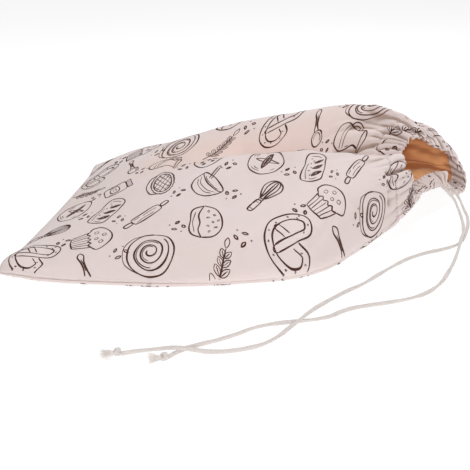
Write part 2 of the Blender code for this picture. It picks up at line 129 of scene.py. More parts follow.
# Fineness of the cloth: columns across a panel, and the lengths between its rows
PANEL_COLUMNS = 256
LINING_COLUMNS = 110
SEAM_SHARE = 0.00015
ROW_ZONES = ((0.0, 0.126, 0.0042), (0.126, 0.286, 0.0025), (0.286, 0.366, 0.0018),
             (0.366, HEM_LINE, 0.0009))
HEM_ROWS = 24
RIM = 0.0012
RIM_ANGLES = (45.0, 90.0, 135.0)
FLOOR_GAP = 0.0001

# The casing's stitches and their puckered groove, the side seams, and the casing's swell. The
# seams' ripple has a height, a pitch and a length over which it changes.
STITCH_PITCH = 0.0032
STITCH_LENGTH = 0.0023
STITCH_LIFT = 0.00022
STITCH_RADII = (0.00012, 0.00024, 0.00026, 0.00024, 0.00012)
GROOVE_WIDTH = 0.0017
GROOVE_DEPTH = 0.0011
PUCKERS = 120
PUCKER_SHARE = 0.35
SEAM_WIDTH = 0.0018
SEAM_DEPTH = 0.0006
SEAM_RIPPLE = (0.3, 0.011, 0.013)
PUFF_OUT = 0.001
PUFF_IN = 0.0006

# The lining: lengths between its rows, where it starts to tuck under the hem and by how much,
# how deep its folds are beside the printed cloth's, and its thickness as drawn
LINING_ZONES = ((LINING_START, 0.3, 0.005), (0.3, LINING_END, 0.0018))
TUCK_FROM = 0.362
TUCK_DEPTH = 0.0003
LINING_FOLDS = 0.55
LINING_CLOTH = 0.0008
LINING_FLOOR = (0.0013, 0.0021)

# Gathers. Columns: folds round the mouth, seed, first and last length at which one may start,
# length at which all are full, evenness, sharpness, depth as a share of the mouth's ruffles
PLEATS = (52, 5, (0.318, 0.36), 0.373, 0.5, 0.8, 1.55)
FOLDS = (17, 11, (0.24, 0.315), 0.37, 0.75, 0.4, 1.15)
GATHER_CENTRE = 0.85
# How the folds drift sideways and lean. Columns: times round the mouth, share of a fold
DRIFTS = ((5, 0.3), (9, 0.22))
LEAN = (4, 0.35)
LEAN_LENGTH = 0.06
# Where the folds lie flatter. Columns: share, length, width, reach and how much flatter
CALM = (
    (0.3, 0.359, 0.013, 0.012, 0.85),
    (0.346, 0.358, 0.011, 0.012, 0.7),
)
# The near side's folds start nearer the mouth and are lower
SMOOTH_SIDE = 0.19
SMOOTH_TO = 0.338
SMOOTH_HEIGHT = 0.5
# Room under the folds, from where it starts to where it is full
RUFFLE_CLEARANCE = 0.0015
CLEARANCE_FROM = 0.262
CLEARANCE_FULL = 0.286
# Painted shade between the folds: columns and rows beside a point that it looks at, the depth that
# is fully dark, and the lengths over which it comes in
SHADE_REACH = (4, 2)
SHADE_DEPTH = 0.0007
SHADE_FROM = (0.315, 0.35)
SHADE_LEAST = 0.15
# Painted warm light of the far side, standing in for light bounced in its hollow: share, its width,
# length and its reach
PAINTED_WARM_PLACE = (0.31, 0.055, 0.205, 0.12)

# Soft pressed creases, listed one by one. Columns: share and length at both ends, width, height
# (minus is in)
CREASES = (
    (0.245, 0.18, 0.222, 0.28, 0.01, 0.0012),
    (0.222, 0.28, 0.172, 0.345, 0.009, 0.0014),
    (0.166, 0.345, 0.13, 0.4, 0.0065, 0.0028),
    (0.228, 0.345, 0.178, 0.396, 0.0085, -0.003),
    (0.3, 0.2, 0.268, 0.29, 0.015, -0.0028),
    (0.262, 0.29, 0.225, 0.345, 0.013, -0.0034),
    (0.03, 0.366, 0.088, 0.37, 0.0045, -0.003),
    (0.098, 0.406, 0.104, 0.368, 0.0045, -0.006),
    (0.15, 0.372, 0.165, 0.3, 0.007, 0.0016),
    (0.196, 0.392, 0.205, 0.336, 0.0055, -0.0046),
    (0.214, 0.376, 0.22, 0.34, 0.0045, 0.003),
    (0.23, 0.376, 0.24, 0.33, 0.0045, -0.0042),
    (0.247, 0.374, 0.256, 0.334, 0.005, 0.0036),
    (0.265, 0.374, 0.274, 0.322, 0.005, -0.0048),
    (0.299, 0.372, 0.299, 0.35, 0.0105, 0.006),
    (0.32, 0.376, 0.318, 0.334, 0.0045, -0.0046),
    (0.345, 0.366, 0.338, 0.345, 0.01, -0.006),
    (0.366, 0.374, 0.364, 0.335, 0.005, 0.0026),
    (0.384, 0.374, 0.382, 0.33, 0.005, -0.003),
    (0.408, 0.372, 0.404, 0.315, 0.0055, -0.0026),
    (0.03, 0.25, 0.06, 0.285, 0.006, -0.0014),
    (0.02, 0.2, 0.045, 0.235, 0.006, 0.001),
    (0.275, 0.158, 0.292, 0.172, 0.01, -0.0024),
    (0.205, 0.255, 0.222, 0.27, 0.011, -0.0024),
    (0.26, 0.18, 0.3, 0.185, 0.007, 0.0012),
    (0.02, 0.03, 0.08, 0.02, 0.008, 0.001),
    (0.42, 0.2, 0.4, 0.29, 0.008, -0.0015),
    (0.268, 0.228, 0.24, 0.24, 0.0042, -0.0022),
    (0.24, 0.24, 0.222, 0.262, 0.004, -0.0013),
    (0.274, 0.2, 0.248, 0.206, 0.0042, 0.0018),
    (0.256, 0.262, 0.232, 0.274, 0.0044, -0.002),
    (0.292, 0.15, 0.262, 0.164, 0.0044, 0.0018),
    (0.29, 0.136, 0.262, 0.143, 0.004, -0.0018),
)
# Soft folds of the lining alone, in the same columns
LINING_CREASES = (
    (0.438, 0.376, 0.452, 0.33, 0.007, -0.0035),
    (0.474, 0.374, 0.462, 0.325, 0.006, -0.003),
    (0.5, 0.376, 0.486, 0.335, 0.0055, -0.0045),
    (0.524, 0.374, 0.53, 0.33, 0.006, -0.0035),
    (0.562, 0.376, 0.556, 0.34, 0.006, -0.003),
)
CRUMPLES = 90
CRUMPLE_SEED = 3
CRUMPLE_HEIGHT = 0.0007
CRUMPLE_LENGTHS = (0.02, 0.35)
CRUMPLE_REACH = (0.015, 0.055)
CRUMPLE_WIDTH = (0.004, 0.01)
# The underside pressed in where the cords leave: share, length, width, reach and height
CORD_HOLLOW = (0.705, 0.39, 0.0085, 0.008, -0.007)

# Drawcord
CORD_DIAMETER = 0.0026
CORD_HEIGHT = CORD_DIAMETER / 2 + 0.00005
CORD_STEP = 0.0008
CORD_SIDES = 18
CORD_PITCH = 0.0085
CORD_PLIES = 3
PLY_DEPTH = 0.13
PLY_ROUNDNESS = 0.7
PLY_FULLNESS = 1.25
# The cord's thick and thin places and the sway of its flat side. Columns: amount, length
UNEVEN = ((0.05, 0.0061), (0.03, 0.0023))
ROLL_SWAY = (0.8, 0.019)
# The section is flatter one way, and turns once in this length
CORD_FLATNESS = 0.14
CORD_ROLL = 0.125
LEFT_ROUTE = (
    (0.1702, 0.0599, 0.013), (0.1742, 0.055, 0.0105), (0.1768, 0.0495, 0.0068),
    (0.1787, 0.042, 0.003), (0.1797, 0.033, 0.0006), (0.18, 0.018, 0.0),
    (0.178, -0.002, 0.0), (0.1745, -0.02, 0.0), (0.1685, -0.042, 0.0),
    (0.16, -0.06, 0.0), (0.149, -0.07, 0.0), (0.13, -0.083, 0.0),
    (0.117, -0.095, 0.0), (0.106, -0.109, 0.0), (0.091, -0.131, 0.0),
    (0.077, -0.152, 0.0), (0.065, -0.166, 0.0), (0.056, -0.179, 0.0005),
    (0.048, -0.193, 0.0017), (0.041, -0.2065, 0.0029), (0.035, -0.2185, 0.0032),
    (0.027, -0.232, 0.0021), (0.018, -0.246, 0.0006), (0.009, -0.256, 0.0),
    (-0.002, -0.263, 0.0), (-0.014, -0.2675, 0.0), (-0.027, -0.2705, 0.0011),
    (-0.037, -0.2715, 0.0029), (-0.046, -0.2713, 0.0032), (-0.056, -0.2705, 0.0014),
    (-0.066, -0.2708, 0.0), (-0.0785, -0.276, 0.0),
)
RIGHT_ROUTE = (
    (0.1609, 0.0495, 0.0172), (0.165, 0.0474, 0.0142), (0.1684, 0.0464, 0.0106),
    (0.1718, 0.044, 0.0066), (0.1738, 0.037, 0.0025), (0.1745, 0.028, 0.0005),
    (0.1742, 0.014, 0.0), (0.173, -0.004, 0.0003), (0.171, -0.021, 0.0017),
    (0.168, -0.039, 0.003), (0.1635, -0.057, 0.0032), (0.159, -0.075, 0.0017),
    (0.154, -0.093, 0.0002), (0.145, -0.121, 0.0), (0.134, -0.148, 0.0),
    (0.121, -0.166, 0.0), (0.106, -0.177, 0.0), (0.094, -0.183, 0.0),
    (0.081, -0.1885, 0.0), (0.07, -0.194, 0.0), (0.061, -0.201, 0.0),
    (0.053, -0.2095, 0.0), (0.043, -0.215, 0.0), (0.035, -0.218, 0.0),
    (0.022, -0.222, 0.0), (0.01, -0.227, 0.0), (0.001, -0.233, 0.0),
    (-0.007, -0.241, 0.0), (-0.02, -0.252, 0.0), (-0.033, -0.2608, 0.0),
    (-0.0395, -0.266, 0.0), (-0.044, -0.2712, 0.0), (-0.049, -0.2786, 0.0),
)
STRANDS = (
    ("left", LEFT_ROUTE, math.radians(4.0), 21),
    ("right", RIGHT_ROUTE, math.radians(-34.0), 22),
)
CORD_START = 0.008
KNOT_LENGTH = 0.0044
KNOT_RADIUS = 0.0019
KNOT_TURNS = 2.0
KNOT_GAP = 0.0006
KNOT_LIFT = CORD_DIAMETER * 0.42
THROUGH_SIDES = 12
# The knot's wraps: points, sides, size, how far along and up they reach as shares of the knot,
# where round the cord they start, and how they sway
WRAP_POINTS = 60
WRAP_SIDES = 14
WRAP_RADIUS = CORD_DIAMETER * 0.46
WRAP_STEP = 0.0007
WRAP_SPAN = 0.72
WRAP_HEIGHT = 0.86
WRAP_START = 0.6
WRAP_SWAY = 0.0004
FIBRES = 120
FIBRE_LENGTH = 0.0095
FIBRE_RADIUS = 0.00016
FIBRE_FAN = math.radians(30.0)
FIBRE_STEPS = 6
FIBRE_SIDES = 4
FIBRE_SPREAD = 0.55
FIBRE_LIFT = (-0.45, 0.7)
FIBRE_LENGTHS = (0.72, 1.05)
FIBRE_SWAY = 0.001

# Colours, linear
# The cloth's light and dark tones are its own; its warm tint is painted warm light and its fold
# colour painted shade between the folds.
CLOTH_COLOURS = {
    "Light": (0.82, 0.716, 0.706),
    "Dark": (0.76, 0.632, 0.6),
    "Painted_warm_light": (0.8, 0.59, 0.515),
    "Painted_fold_shade": (0.36, 0.24, 0.185),
    "Thread": 0.00055,
}
# The lining's light and dark tones are lighter than its own tan, as painted light on its shaded
# inside; its fold colour is painted shade between its folds, and its warm tint is not used.
LINING_COLOURS = {
    "Light": (0.82, 0.42, 0.185),
    "Dark": (0.64, 0.285, 0.12),
    "Painted_warm_light": (0.64, 0.285, 0.12),
    "Painted_fold_shade": (0.4, 0.15, 0.06),
    "Thread": 0.0006,
}
CLOTH_PLACES = {"Place": "flat", "Painted_shade_and_warmth": "tone"}
CLOTH_FINISH = {
    "Roughness": 0.88,
    "Specular IOR Level": 0.25,
    "Sheen Weight": 0.25,
    "Sheen Roughness": 0.5,
}
# The lining's emission is a painted glow that lights its shaded inside; it is no lamp.
LINING_FINISH_AND_GLOW = {**CLOTH_FINISH, "Sheen Weight": 0.2, "Emission Strength": 0.11}
# Relief of the weave's and the yarn's bumps, and how strong they are
CLOTH_RELIEF = (0.00012, 0.6)
LINING_RELIEF = (0.00015, 0.6)
CORD_RELIEF = (0.00025, 0.7)
# Scales of the uneven tones, in waves to a metre
SLUB_SCALE = 420.0
MOTTLE_SCALE = 26.0
FLECK_SCALE = 1500.0
PATCH_SCALE = 9.0
FIBRE_SCALE = 2600.0
YARN_SCALE = 300.0
INK_SCALE = 160.0
# Strengths of the painted warm light and of the painted shade between the folds
PAINTED_WARM_SHARE = 0.65
PAINTED_FOLD_SHADE = 0.8
INK = (0.042, 0.0155, 0.0105)
WORN_INK = (0.1192, 0.0503, 0.0373)
CORD_COLOURS = {"Light": (0.8, 0.735, 0.705), "Dark": (0.56, 0.5, 0.47)}
# The frayed ends take a lighter copy of the cord's colours, as painted light on fibres that lie in
# their own shade.
FRAY_COLOURS = {"Light": (0.9, 0.85, 0.81), "Dark": (0.76, 0.7, 0.66)}
CORD_FINISH = {"Roughness": 0.92, "Specular IOR Level": 0.2, "Sheen Weight": 0.3}
# The frayed ends' emission is a painted glow on their shaded fibres; it is no lamp.
FRAY_FINISH_AND_GLOW = {**CORD_FINISH, "Emission Strength": 0.05}


def smooth_step(low, high, value):
    t = np.clip((value - low) / (high - low), 0.0, 1.0)
    return t * t * (3.0 - 2.0 * t)


def through_points(stations, points, wanted):
    """Values at the wanted stations of one smooth curve through points at increasing stations."""
    gaps = np.diff(stations)[:, None]
    slopes = np.diff(points, axis=0) / gaps
    tangents = np.zeros_like(points)
    tangents[1:-1] = (slopes[:-1] * gaps[1:] + slopes[1:] * gaps[:-1]) / (gaps[1:] + gaps[:-1])
    tangents[0] = slopes[0]
    tangents[-1] = slopes[-1]
    span = np.clip(np.searchsorted(stations, wanted, side="right") - 1, 0, len(stations) - 2)
    gap = gaps[span]
    t = (wanted - stations[span])[:, None] / gap
    return ((1 + 2 * t) * (1 - t) ** 2 * points[span] + t * (1 - t) ** 2 * gap * tangents[span]
            + t * t * (3 - 2 * t) * points[span + 1] + t * t * (t - 1) * gap * tangents[span + 1])


def run_lengths(points):
    """Distance along a row of points, from its first."""
    return np.concatenate([[0.0], np.cumsum(np.linalg.norm(np.diff(points, axis=0), axis=1))])


def closed_curve(points, steps):
    """Closely spaced points of a smooth closed curve, with the given steps between each two."""
    around = np.concatenate([points[-3:], points, points[:4]])
    stations = run_lengths(around)
    wanted = [np.linspace(stations[i], stations[i + 1], steps, endpoint=False)
              for i in range(3, 3 + len(points))]
    wanted.append([stations[3 + len(points)]])
    return through_points(stations, around, np.concatenate(wanted))


def seam_roll(seam, following, inward, floor):
    """Points under and over a side seam, which stand its edge upright where the wall is shallow."""
    half = seam[1] - floor
    reach = min(UNDER_RADIUS, UPRIGHT_ROLL * half)
    under = (seam[0] + inward * reach, floor)
    over = (seam[0] + inward * reach, floor + 2 * half)
    shallow = following[1] - over[1] < abs(following[0] - over[0])
    return under, [over] if shallow else []


def section_points(section, shares):
    """Points of one cross-section of the hollow at the given shares of the way round."""
    x, ahead, floor, top = section
    near, far = top[0], top[-1]
    near_under, near_over = seam_roll(near, top[1], 1, floor)
    far_under, far_over = seam_roll(far, top[-2], -1, floor)
    upper = [near] + near_over + list(top[1:-1]) + far_over + [far]
    under = [(far_under[0] + part * (near_under[0] - far_under[0]), floor)
             for part in UNDER_PARTS]
    loop = closed_curve(np.array(upper + under), CURVE_STEPS)
    loop[:, 1] = np.maximum(loop[:, 1], floor)
    run = run_lengths(loop)
    far_seam = CURVE_STEPS * (len(upper) - 1)
    over_share = 0.5 * run / run[far_seam]
    under_share = 0.5 + 0.5 * (run - run[far_seam]) / (run[-1] - run[far_seam])
    share = np.where(np.arange(len(run)) <= far_seam, over_share, under_share)
    y = np.interp(shares, share, loop[:, 0])
    z = np.interp(shares, share, loop[:, 1])
    across = np.clip((BAG_WIDTH / 2 - y) / BAG_WIDTH, 0.0, 1.0)
    return np.stack([x + ahead * (1.0 - across ** 3), y, z], axis=1)


def mouth_values(column, shares):
    """Values of one column of the mouth's table at the given shares, joined into a ring."""
    places = np.array([row[1] for row in MOUTH])
    values = np.array([row[column] for row in MOUTH], dtype=float).reshape(len(MOUTH), -1)
    stations = np.concatenate([places[-3:] - 1.0, places, places[:4] + 1.0])
    ring = np.concatenate([values[-3:], values, values[:4]])
    return through_points(stations, ring, shares)


def hollow(shares, lengths):
    """Grid of points on the hollow's surface, rows by length of cloth and columns by share."""
    turn = np.asarray(shares, dtype=float) % 1.0
    rings = [section_points(section, turn) for section in SECTIONS]
    rings.append(mouth_values(2, turn))
    rings.append(mouth_values(3, turn))
    rings = np.array(rings)
    grid = np.zeros((len(lengths), len(turn), 3))
    for column in range(len(turn)):
        line = rings[:, column]
        stations = run_lengths(line)
        close = np.concatenate([np.linspace(0.0, stations[-2], BODY_STEPS, endpoint=False),
                                np.linspace(stations[-2], stations[-1], CURVE_STEPS)])
        curve = through_points(stations, line, close)
        run = run_lengths(curve)
        body = HEM_LINE * run / run[BODY_STEPS]
        past = run - run[BODY_STEPS]
        cloth = np.where(past <= 0, body, HEM_LINE + HEM_WIDTH * past / past[-1])
        for axis in range(3):
            grid[:, column, axis] = np.interp(lengths, cloth, curve[:, axis])
    return grid


def outward(shares, lengths):
    """Directions out of the bag at each point of the grid, without its ruffles."""
    around = hollow(shares + SLOPE_SHARE, lengths) - hollow(shares - SLOPE_SHARE, lengths)
    ahead = hollow(shares, np.minimum(lengths + SLOPE_LENGTH, BAG_LENGTH))
    behind = hollow(shares, np.maximum(lengths - SLOPE_LENGTH, 0.0))
    normal = np.cross(ahead - behind, around)
    return normal / np.linalg.norm(normal, axis=2, keepdims=True)


def round_patch(shares, lengths, share, length, width, reach):
    """1 at one place of the flat cloth, down to 0 around it."""
    across = ((shares - share) * AROUND / width)[None, :]
    along = ((lengths - length) / reach)[:, None]
    return np.exp(-across ** 2 - along ** 2)


def fold_waves(shares, lengths, row):
    """Uneven folds that run out of the gathered mouth, each with its own height and start."""
    count, seed, starts, full, evenness, sharpness, depth_share = row
    draw = np.random.default_rng(seed)
    heights = draw.uniform(1.0 - evenness, 1.0, count)
    begins = draw.uniform(*starts, count)
    smoother = np.arange(count) < SMOOTH_SIDE * count
    begins[smoother] = np.maximum(begins[smoother], SMOOTH_TO)
    heights[smoother] *= SMOOTH_HEIGHT
    sway = draw.uniform(0.0, 2 * math.pi, 3)
    first, second, lean = (share * np.sin(2 * math.pi * times * shares + start)
                           for (times, share), start in zip((*DRIFTS, LEAN), sway))
    back = np.clip((HEM_LINE - lengths) / LEAN_LENGTH, -0.4, 2.0)
    phase = (count * shares + (first + second))[None, :] + lean[None, :] * back[:, None]
    index = np.floor(phase).astype(int) % count
    arch = np.sin(math.pi * (phase - np.floor(phase)))
    wave = sharpness * arch + (1.0 - sharpness) * arch * arch
    fade = smooth_step(begins[index], full, lengths[:, None])
    depth = mouth_values(4, shares % 1.0)[:, 0]
    for share, length, width, reach, flatter in CALM:
        fade = fade * (1.0 - flatter * round_patch(shares, lengths, share, length, width, reach))
    return depth_share * depth[None, :] * heights[index] * wave * fade


def crease(shares, lengths, row):
    """One soft ridge or dent along a line on the flat cloth."""
    share_a, length_a, share_b, length_b, width, height = row
    across = ((shares - share_a + 0.5) % 1.0 - 0.5)[None, :] * AROUND
    along = (lengths - length_a)[:, None]
    reach = np.array([(share_b - share_a) * AROUND, length_b - length_a])
    span = np.linalg.norm(reach)
    unit = reach / span
    run = across * unit[0] + along * unit[1]
    aside = along * unit[0] - across * unit[1]
    ends = smooth_step(-width, width, run) * smooth_step(-width, width, span - run)
    return height * ends * np.exp(-(aside / width) ** 2)


def crumple_rows():
    """Small scattered creases of handled cotton, in the form of the table above."""
    draw = np.random.default_rng(CRUMPLE_SEED)
    rows = []
    for _ in range(CRUMPLES):
        share = draw.uniform(0.0, 1.0)
        length = draw.uniform(*CRUMPLE_LENGTHS)
        angle = draw.uniform(0.0, math.pi)
        reach = draw.uniform(*CRUMPLE_REACH)
        height = draw.uniform(-1.0, 1.0) * CRUMPLE_HEIGHT
        rows.append((share, length, share + reach * math.cos(angle) / AROUND,
                     length + reach * math.sin(angle), draw.uniform(*CRUMPLE_WIDTH), height))
    return rows


def broad_relief(shares, lengths):
    """Creases that the printed cloth and the lining share."""
    total = np.zeros((len(lengths), len(shares)))
    for row in CREASES + tuple(crumple_rows()):
        total += crease(shares, lengths, row)
    *place, height = CORD_HOLLOW
    return total + height * round_patch(shares, lengths, *place)


def gathers(shares, lengths):
    """Height of the gathers, which fall as far inside the smooth surface as outside it."""
    depth = mouth_values(4, shares % 1.0)[:, 0]
    settle = smooth_step(CLEARANCE_FROM, HEM_LINE, lengths)
    raised = fold_waves(shares, lengths, PLEATS) + fold_waves(shares, lengths, FOLDS)
    return raised - GATHER_CENTRE * settle[:, None] * depth[None, :]


def clearance(lengths):
    clear = np.clip((lengths - CLEARANCE_FROM) / (CLEARANCE_FULL - CLEARANCE_FROM), 0.0, 1.0)
    return RUFFLE_CLEARANCE * clear[:, None]


def seam_distance(shares):
    """Distance on the flat cloth to the nearer side seam."""
    return AROUND * np.minimum(shares % 0.5, 0.5 - shares % 0.5)


def outer_relief(shares, lengths):
    """Height of the printed cloth over its smooth surface."""
    total = broad_relief(shares, lengths) + gathers(shares, lengths) + clearance(lengths)
    groove = np.exp(-((lengths - HEM_LINE) / GROOVE_WIDTH) ** 2)
    pucker = 1.0 + PUCKER_SHARE * np.sin(2 * math.pi * PUCKERS * shares)
    total -= GROOVE_DEPTH * groove[:, None] * pucker[None, :]
    seam = np.exp(-(seam_distance(shares) / SEAM_WIDTH) ** 2)
    height, pitch, change = SEAM_RIPPLE
    ripple = 1.0 + height * np.sin(2 * math.pi * lengths / pitch) * np.sin(lengths / change)
    return total - SEAM_DEPTH * seam[None, :] * ripple[:, None]


def casing_puff(lengths):
    """How far the casing swells between its stitches and its rim."""
    part = np.clip((lengths - HEM_LINE) / HEM_WIDTH, 0.0, 1.0)
    return np.sin(math.pi * part)[:, None]


def lining_room(lengths):
    return LINING_ROOM * np.clip(lengths / LINING_START, 0.0, 1.0)


def row_lengths():
    """Lengths at which the fine cloth has its rows, up to the start of the rounded rim."""
    rows = [np.arange(start, end, step) for start, end, step in ROW_ZONES]
    rows.append([HEM_LINE])
    rows.append(np.linspace(HEM_LINE + HEM_STEP, BAG_LENGTH - RIM, HEM_ROWS))
    return np.concatenate(rows)


def on_floor(points, height):
    points[:, :, 2] = np.maximum(points[:, :, 2], height)
    return points


def painted_crevice_shade(raised):
    """How deep each point lies between the folds beside it, as a mask of painted shade. 1 is as
    dark as it gets.
    """
    wide, long = SHADE_REACH
    padded = np.pad(raised, ((long, long), (wide, wide)), mode="edge")
    rows, columns = raised.shape
    total = np.zeros_like(raised)
    for down in range(2 * long + 1):
        for across in range(2 * wide + 1):
            total += padded[down:down + rows, across:across + columns]
    mean = total / ((2 * long + 1) * (2 * wide + 1))
    return (mean - raised) / SHADE_DEPTH


def grid_normals(grid):
    ahead = np.gradient(grid, axis=0)
    around = np.gradient(grid, axis=1)
    normal = np.cross(ahead, around)
    length = np.linalg.norm(normal, axis=2, keepdims=True)
    return normal / np.maximum(length, 1e-12)


def panel_base(first, columns, lengths):
    """Shares of a panel's columns, and the hollow's points and outward directions under it."""
    shares = np.linspace(first, first + 0.5, columns + 1)
    shares[0] += SEAM_SHARE
    shares[-1] -= SEAM_SHARE
    return shares, hollow(shares, lengths), outward(shares, lengths)


def outer_grid(first):
    """Shares, places on the flat cloth, points and painted shades of one printed panel, all round
    it.
    """
    lengths = row_lengths()
    shares, points, normal = panel_base(first, PANEL_COLUMNS, lengths)
    raised = outer_relief(shares, lengths)
    puff = casing_puff(lengths)
    outside = lining_room(lengths)[:, None] + OUTER_THICKNESS + raised + PUFF_OUT * puff
    turned_in = (lengths > HEM_LINE + HEM_STEP / 2)[:, None]
    inside = np.where(turned_in, LAYER_GAP / 2 + raised - PUFF_IN * puff, outside - CLOTH)
    outer = on_floor(points + normal * outside[:, :, None], FLOOR_GAP)
    inner = on_floor(points + normal * inside[:, :, None], FLOOR_GAP + CLOTH)
    ahead = outer[-1] - outer[-3] + inner[-1] - inner[-3]
    ahead /= np.linalg.norm(ahead, axis=1, keepdims=True)
    middle = (outer[-1] + inner[-1]) / 2
    half = (outer[-1] - inner[-1]) / 2
    size = np.linalg.norm(half, axis=1, keepdims=True)
    turn = np.radians(RIM_ANGLES)[:, None, None]
    rim = on_floor(middle + half * np.cos(turn) + ahead * size * np.sin(turn), FLOOR_GAP)
    rim_flat = BAG_LENGTH + RIM * np.array([-0.5, 0.0, 0.5])
    back = np.where(turned_in[:, 0], 2 * BAG_LENGTH - lengths, lengths)
    flat = np.concatenate([lengths, rim_flat, back[::-1]])
    # Painted shade between the folds, weaker away from the mouth
    fade = SHADE_LEAST + (1.0 - SHADE_LEAST) * smooth_step(*SHADE_FROM, lengths)
    deep = painted_crevice_shade(raised) * fade[:, None]
    painted_shade = np.concatenate([deep, np.zeros_like(rim[:, :, 0]), -deep[::-1]])
    # Painted warm light of the far side
    share, width, length, reach = PAINTED_WARM_PLACE
    painted_warm = np.exp(-((shares - share) / width) ** 4 - ((flat[:, None] - length) / reach) ** 4)
    tone = np.stack([np.clip(painted_shade, 0.0, 1.0), painted_warm, np.zeros_like(painted_warm)], axis=2)
    return shares, flat, np.concatenate([outer, rim, inner[::-1]]), tone


def sheet_object(name, shares, flat, grid, tone, material):
    """A closed sheet from a grid whose rows run round it, with its place on the flat cloth."""
    rows, columns = grid.shape[:2]
    number = np.arange(rows * columns).reshape(rows, columns)
    after = np.roll(number, -1, axis=0)
    quads = np.stack([number[:, :-1], after[:, :-1], after[:, 1:], number[:, 1:]], axis=2)
    faces = quads.reshape(-1, 4).tolist()
    inmost = (rows - 2) // 2
    for column, order in ((0, -1), (-1, 1)):
        edge = number[:, column].tolist()
        ends = [[edge[row], edge[row + 1], edge[-2 - row], edge[-1 - row]] for row in range(inmost)]
        ends.append(edge[inmost:rows - inmost])
        faces += [face[::order] for face in ends]
    data = bpy.data.meshes.new(name)
    data.from_pydata(grid.reshape(-1, 3).tolist(), [], faces)
    places = np.zeros((rows, columns, 3))
    places[:, :, 0] = shares * AROUND
    places[:, :, 1] = flat[:, None]
    # The tone attribute carries the painted shade between the folds and the painted warm light.
    for label, values in (("flat", places), ("tone", tone)):
        attribute = data.attributes.new(label, "FLOAT_VECTOR", "POINT")
        attribute.data.foreach_set("vector", values.reshape(-1))
    return finish_mesh(name, data, material)


def finish_mesh(name, data, material):
    data.materials.append(material)
    data.validate()
    data.update()
    data.shade_smooth()
    piece = bpy.data.objects.new(name, data)
    bpy.context.scene.collection.objects.link(piece)
    return piece


def lining_grid(first):
    """The same of one lining panel. Its top end tucks out under the turned hem."""
    lengths = np.concatenate([np.arange(*zone) for zone in LINING_ZONES] + [[LINING_END]])
    shares, points, normal = panel_base(first, LINING_COLUMNS, lengths)
    tuck = smooth_step(TUCK_FROM, LINING_END, lengths)[:, None]
    depth = LINING_FOLDS + (1.0 - LINING_FOLDS) * tuck
    raised = broad_relief(shares, lengths) + depth * gathers(shares, lengths)
    for row in LINING_CREASES:
        raised += (1.0 - tuck) * crease(shares, lengths, row)
    raised += tuck * (clearance(lengths) - TUCK_DEPTH)
    inside = LAYER_GAP / 2 + raised
    outer = on_floor(points + normal * (inside + LINING_CLOTH)[:, :, None], LINING_FLOOR[0])
    inner = on_floor(points + normal * inside[:, :, None], LINING_FLOOR[1])
    flat = np.concatenate([lengths, lengths[::-1]])
    # Painted shade between the lining's folds
    deep = painted_crevice_shade(raised)
    tone = np.zeros((len(flat), len(shares), 3))
    tone[:, :, 0] = np.clip(np.concatenate([deep, -deep[::-1]]), 0.0, 1.0)
    return shares, flat, np.concatenate([outer, inner[::-1]]), tone


def spline(points, closed=False):
    """A smooth drawn line through points on the flat cloth, in millimetres."""
    points = np.array(points, dtype=float)
    if closed:
        return closed_curve(points, 10)
    if len(points) < 3:
        return points
    stations = run_lengths(points)
    return through_points(stations, points, np.linspace(0.0, stations[-1], 12 * len(points)))


def mirrored(points):
    """A smooth line through points, and back through their mirror images from the last one."""
    return spline(points + tuple((-x, y) for x, y in points[-2::-1]))


def arc(x, y, wide, high, start=0.0, end=360.0, power=1.0):
    """Part of an oval. A power under 1 squares it off."""
    angle = np.radians(np.linspace(start, end, 41))
    cos, sin = np.cos(angle), np.sin(angle)
    return np.stack([x + wide / 2 * np.sign(cos) * np.abs(cos) ** power,
                     y + high / 2 * np.sign(sin) * np.abs(sin) ** power], axis=1)


def grain(x, y, long, wide, turn):
    """A pointed seed or leaf."""
    part = np.linspace(0.0, 1.0, 17)
    edge = wide / 2 * np.sin(math.pi * part) ** 0.8
    line = long * (part - 0.5)
    shape = np.concatenate([np.stack([line, edge], 1), np.stack([line[::-1], -edge[::-1]], 1)])
    return turned(shape, turn) + (x, y)


def scribble(x, y, long, wide, turn, count=9):
    """Close strokes that darken a pointed shape."""
    part = np.linspace(0.08, 0.92, 2 * count)
    edge = 0.38 * wide * np.sin(math.pi * part) * np.where(np.arange(2 * count) % 2, 1, -1)
    return turned(np.stack([long * (part - 0.5), edge], axis=1), turn) + (x, y)


def turned(points, degrees):
    angle = math.radians(degrees)
    cos, sin = math.cos(angle), math.sin(angle)
    return points @ np.array([[cos, sin], [-sin, cos]])


def beside(path, distance):
    """A line at an even distance to the left of a path."""
    ahead = np.gradient(path, axis=0)
    ahead /= np.linalg.norm(ahead, axis=1, keepdims=True)
    return path + distance * np.stack([-ahead[:, 1], ahead[:, 0]], axis=1)


def runs(points, keep):
    """The unbroken stretches of a line whose points are kept."""
    parts = []
    start = None
    for i, kept in enumerate(keep):
        if kept and start is None:
            start = i
        if start is not None and (not kept or i == len(keep) - 1):
            end = i + 1 if kept else i
            if end - start > 2:
                parts.append(points[start:end])
            start = None
    return parts


def pretzel():
    rope = mirrored(((-9, -11), (-3, -4), (3, 4), (10, 14), (19, 13), (23, 3), (18, -9),
                     (9, -17), (0, -19)))
    late = np.arange(len(rope)) > len(rope) / 2
    keep = ~(late & (np.linalg.norm(rope, axis=1) < 4.6))
    bold = runs(beside(rope, 3.1), keep) + runs(beside(rope, -3.1), keep)
    bold.append(arc(-9, -11, 6.2, 6.0, 139, 319))
    bold.append(arc(9, -11, 6.2, 6.0, 221, 401))
    fine = [grain(x, y, 1.9, 1.0, 40 * i) for i, (x, y) in enumerate((
        (-21, 6), (-15, 14), (-22, -2), (-14, -13), (-5, -18.5), (5, -18.5), (14, -12.5),
        (22, -2), (21, 6), (15, 14), (8, 10), (-8, 10)))]
    return bold, fine


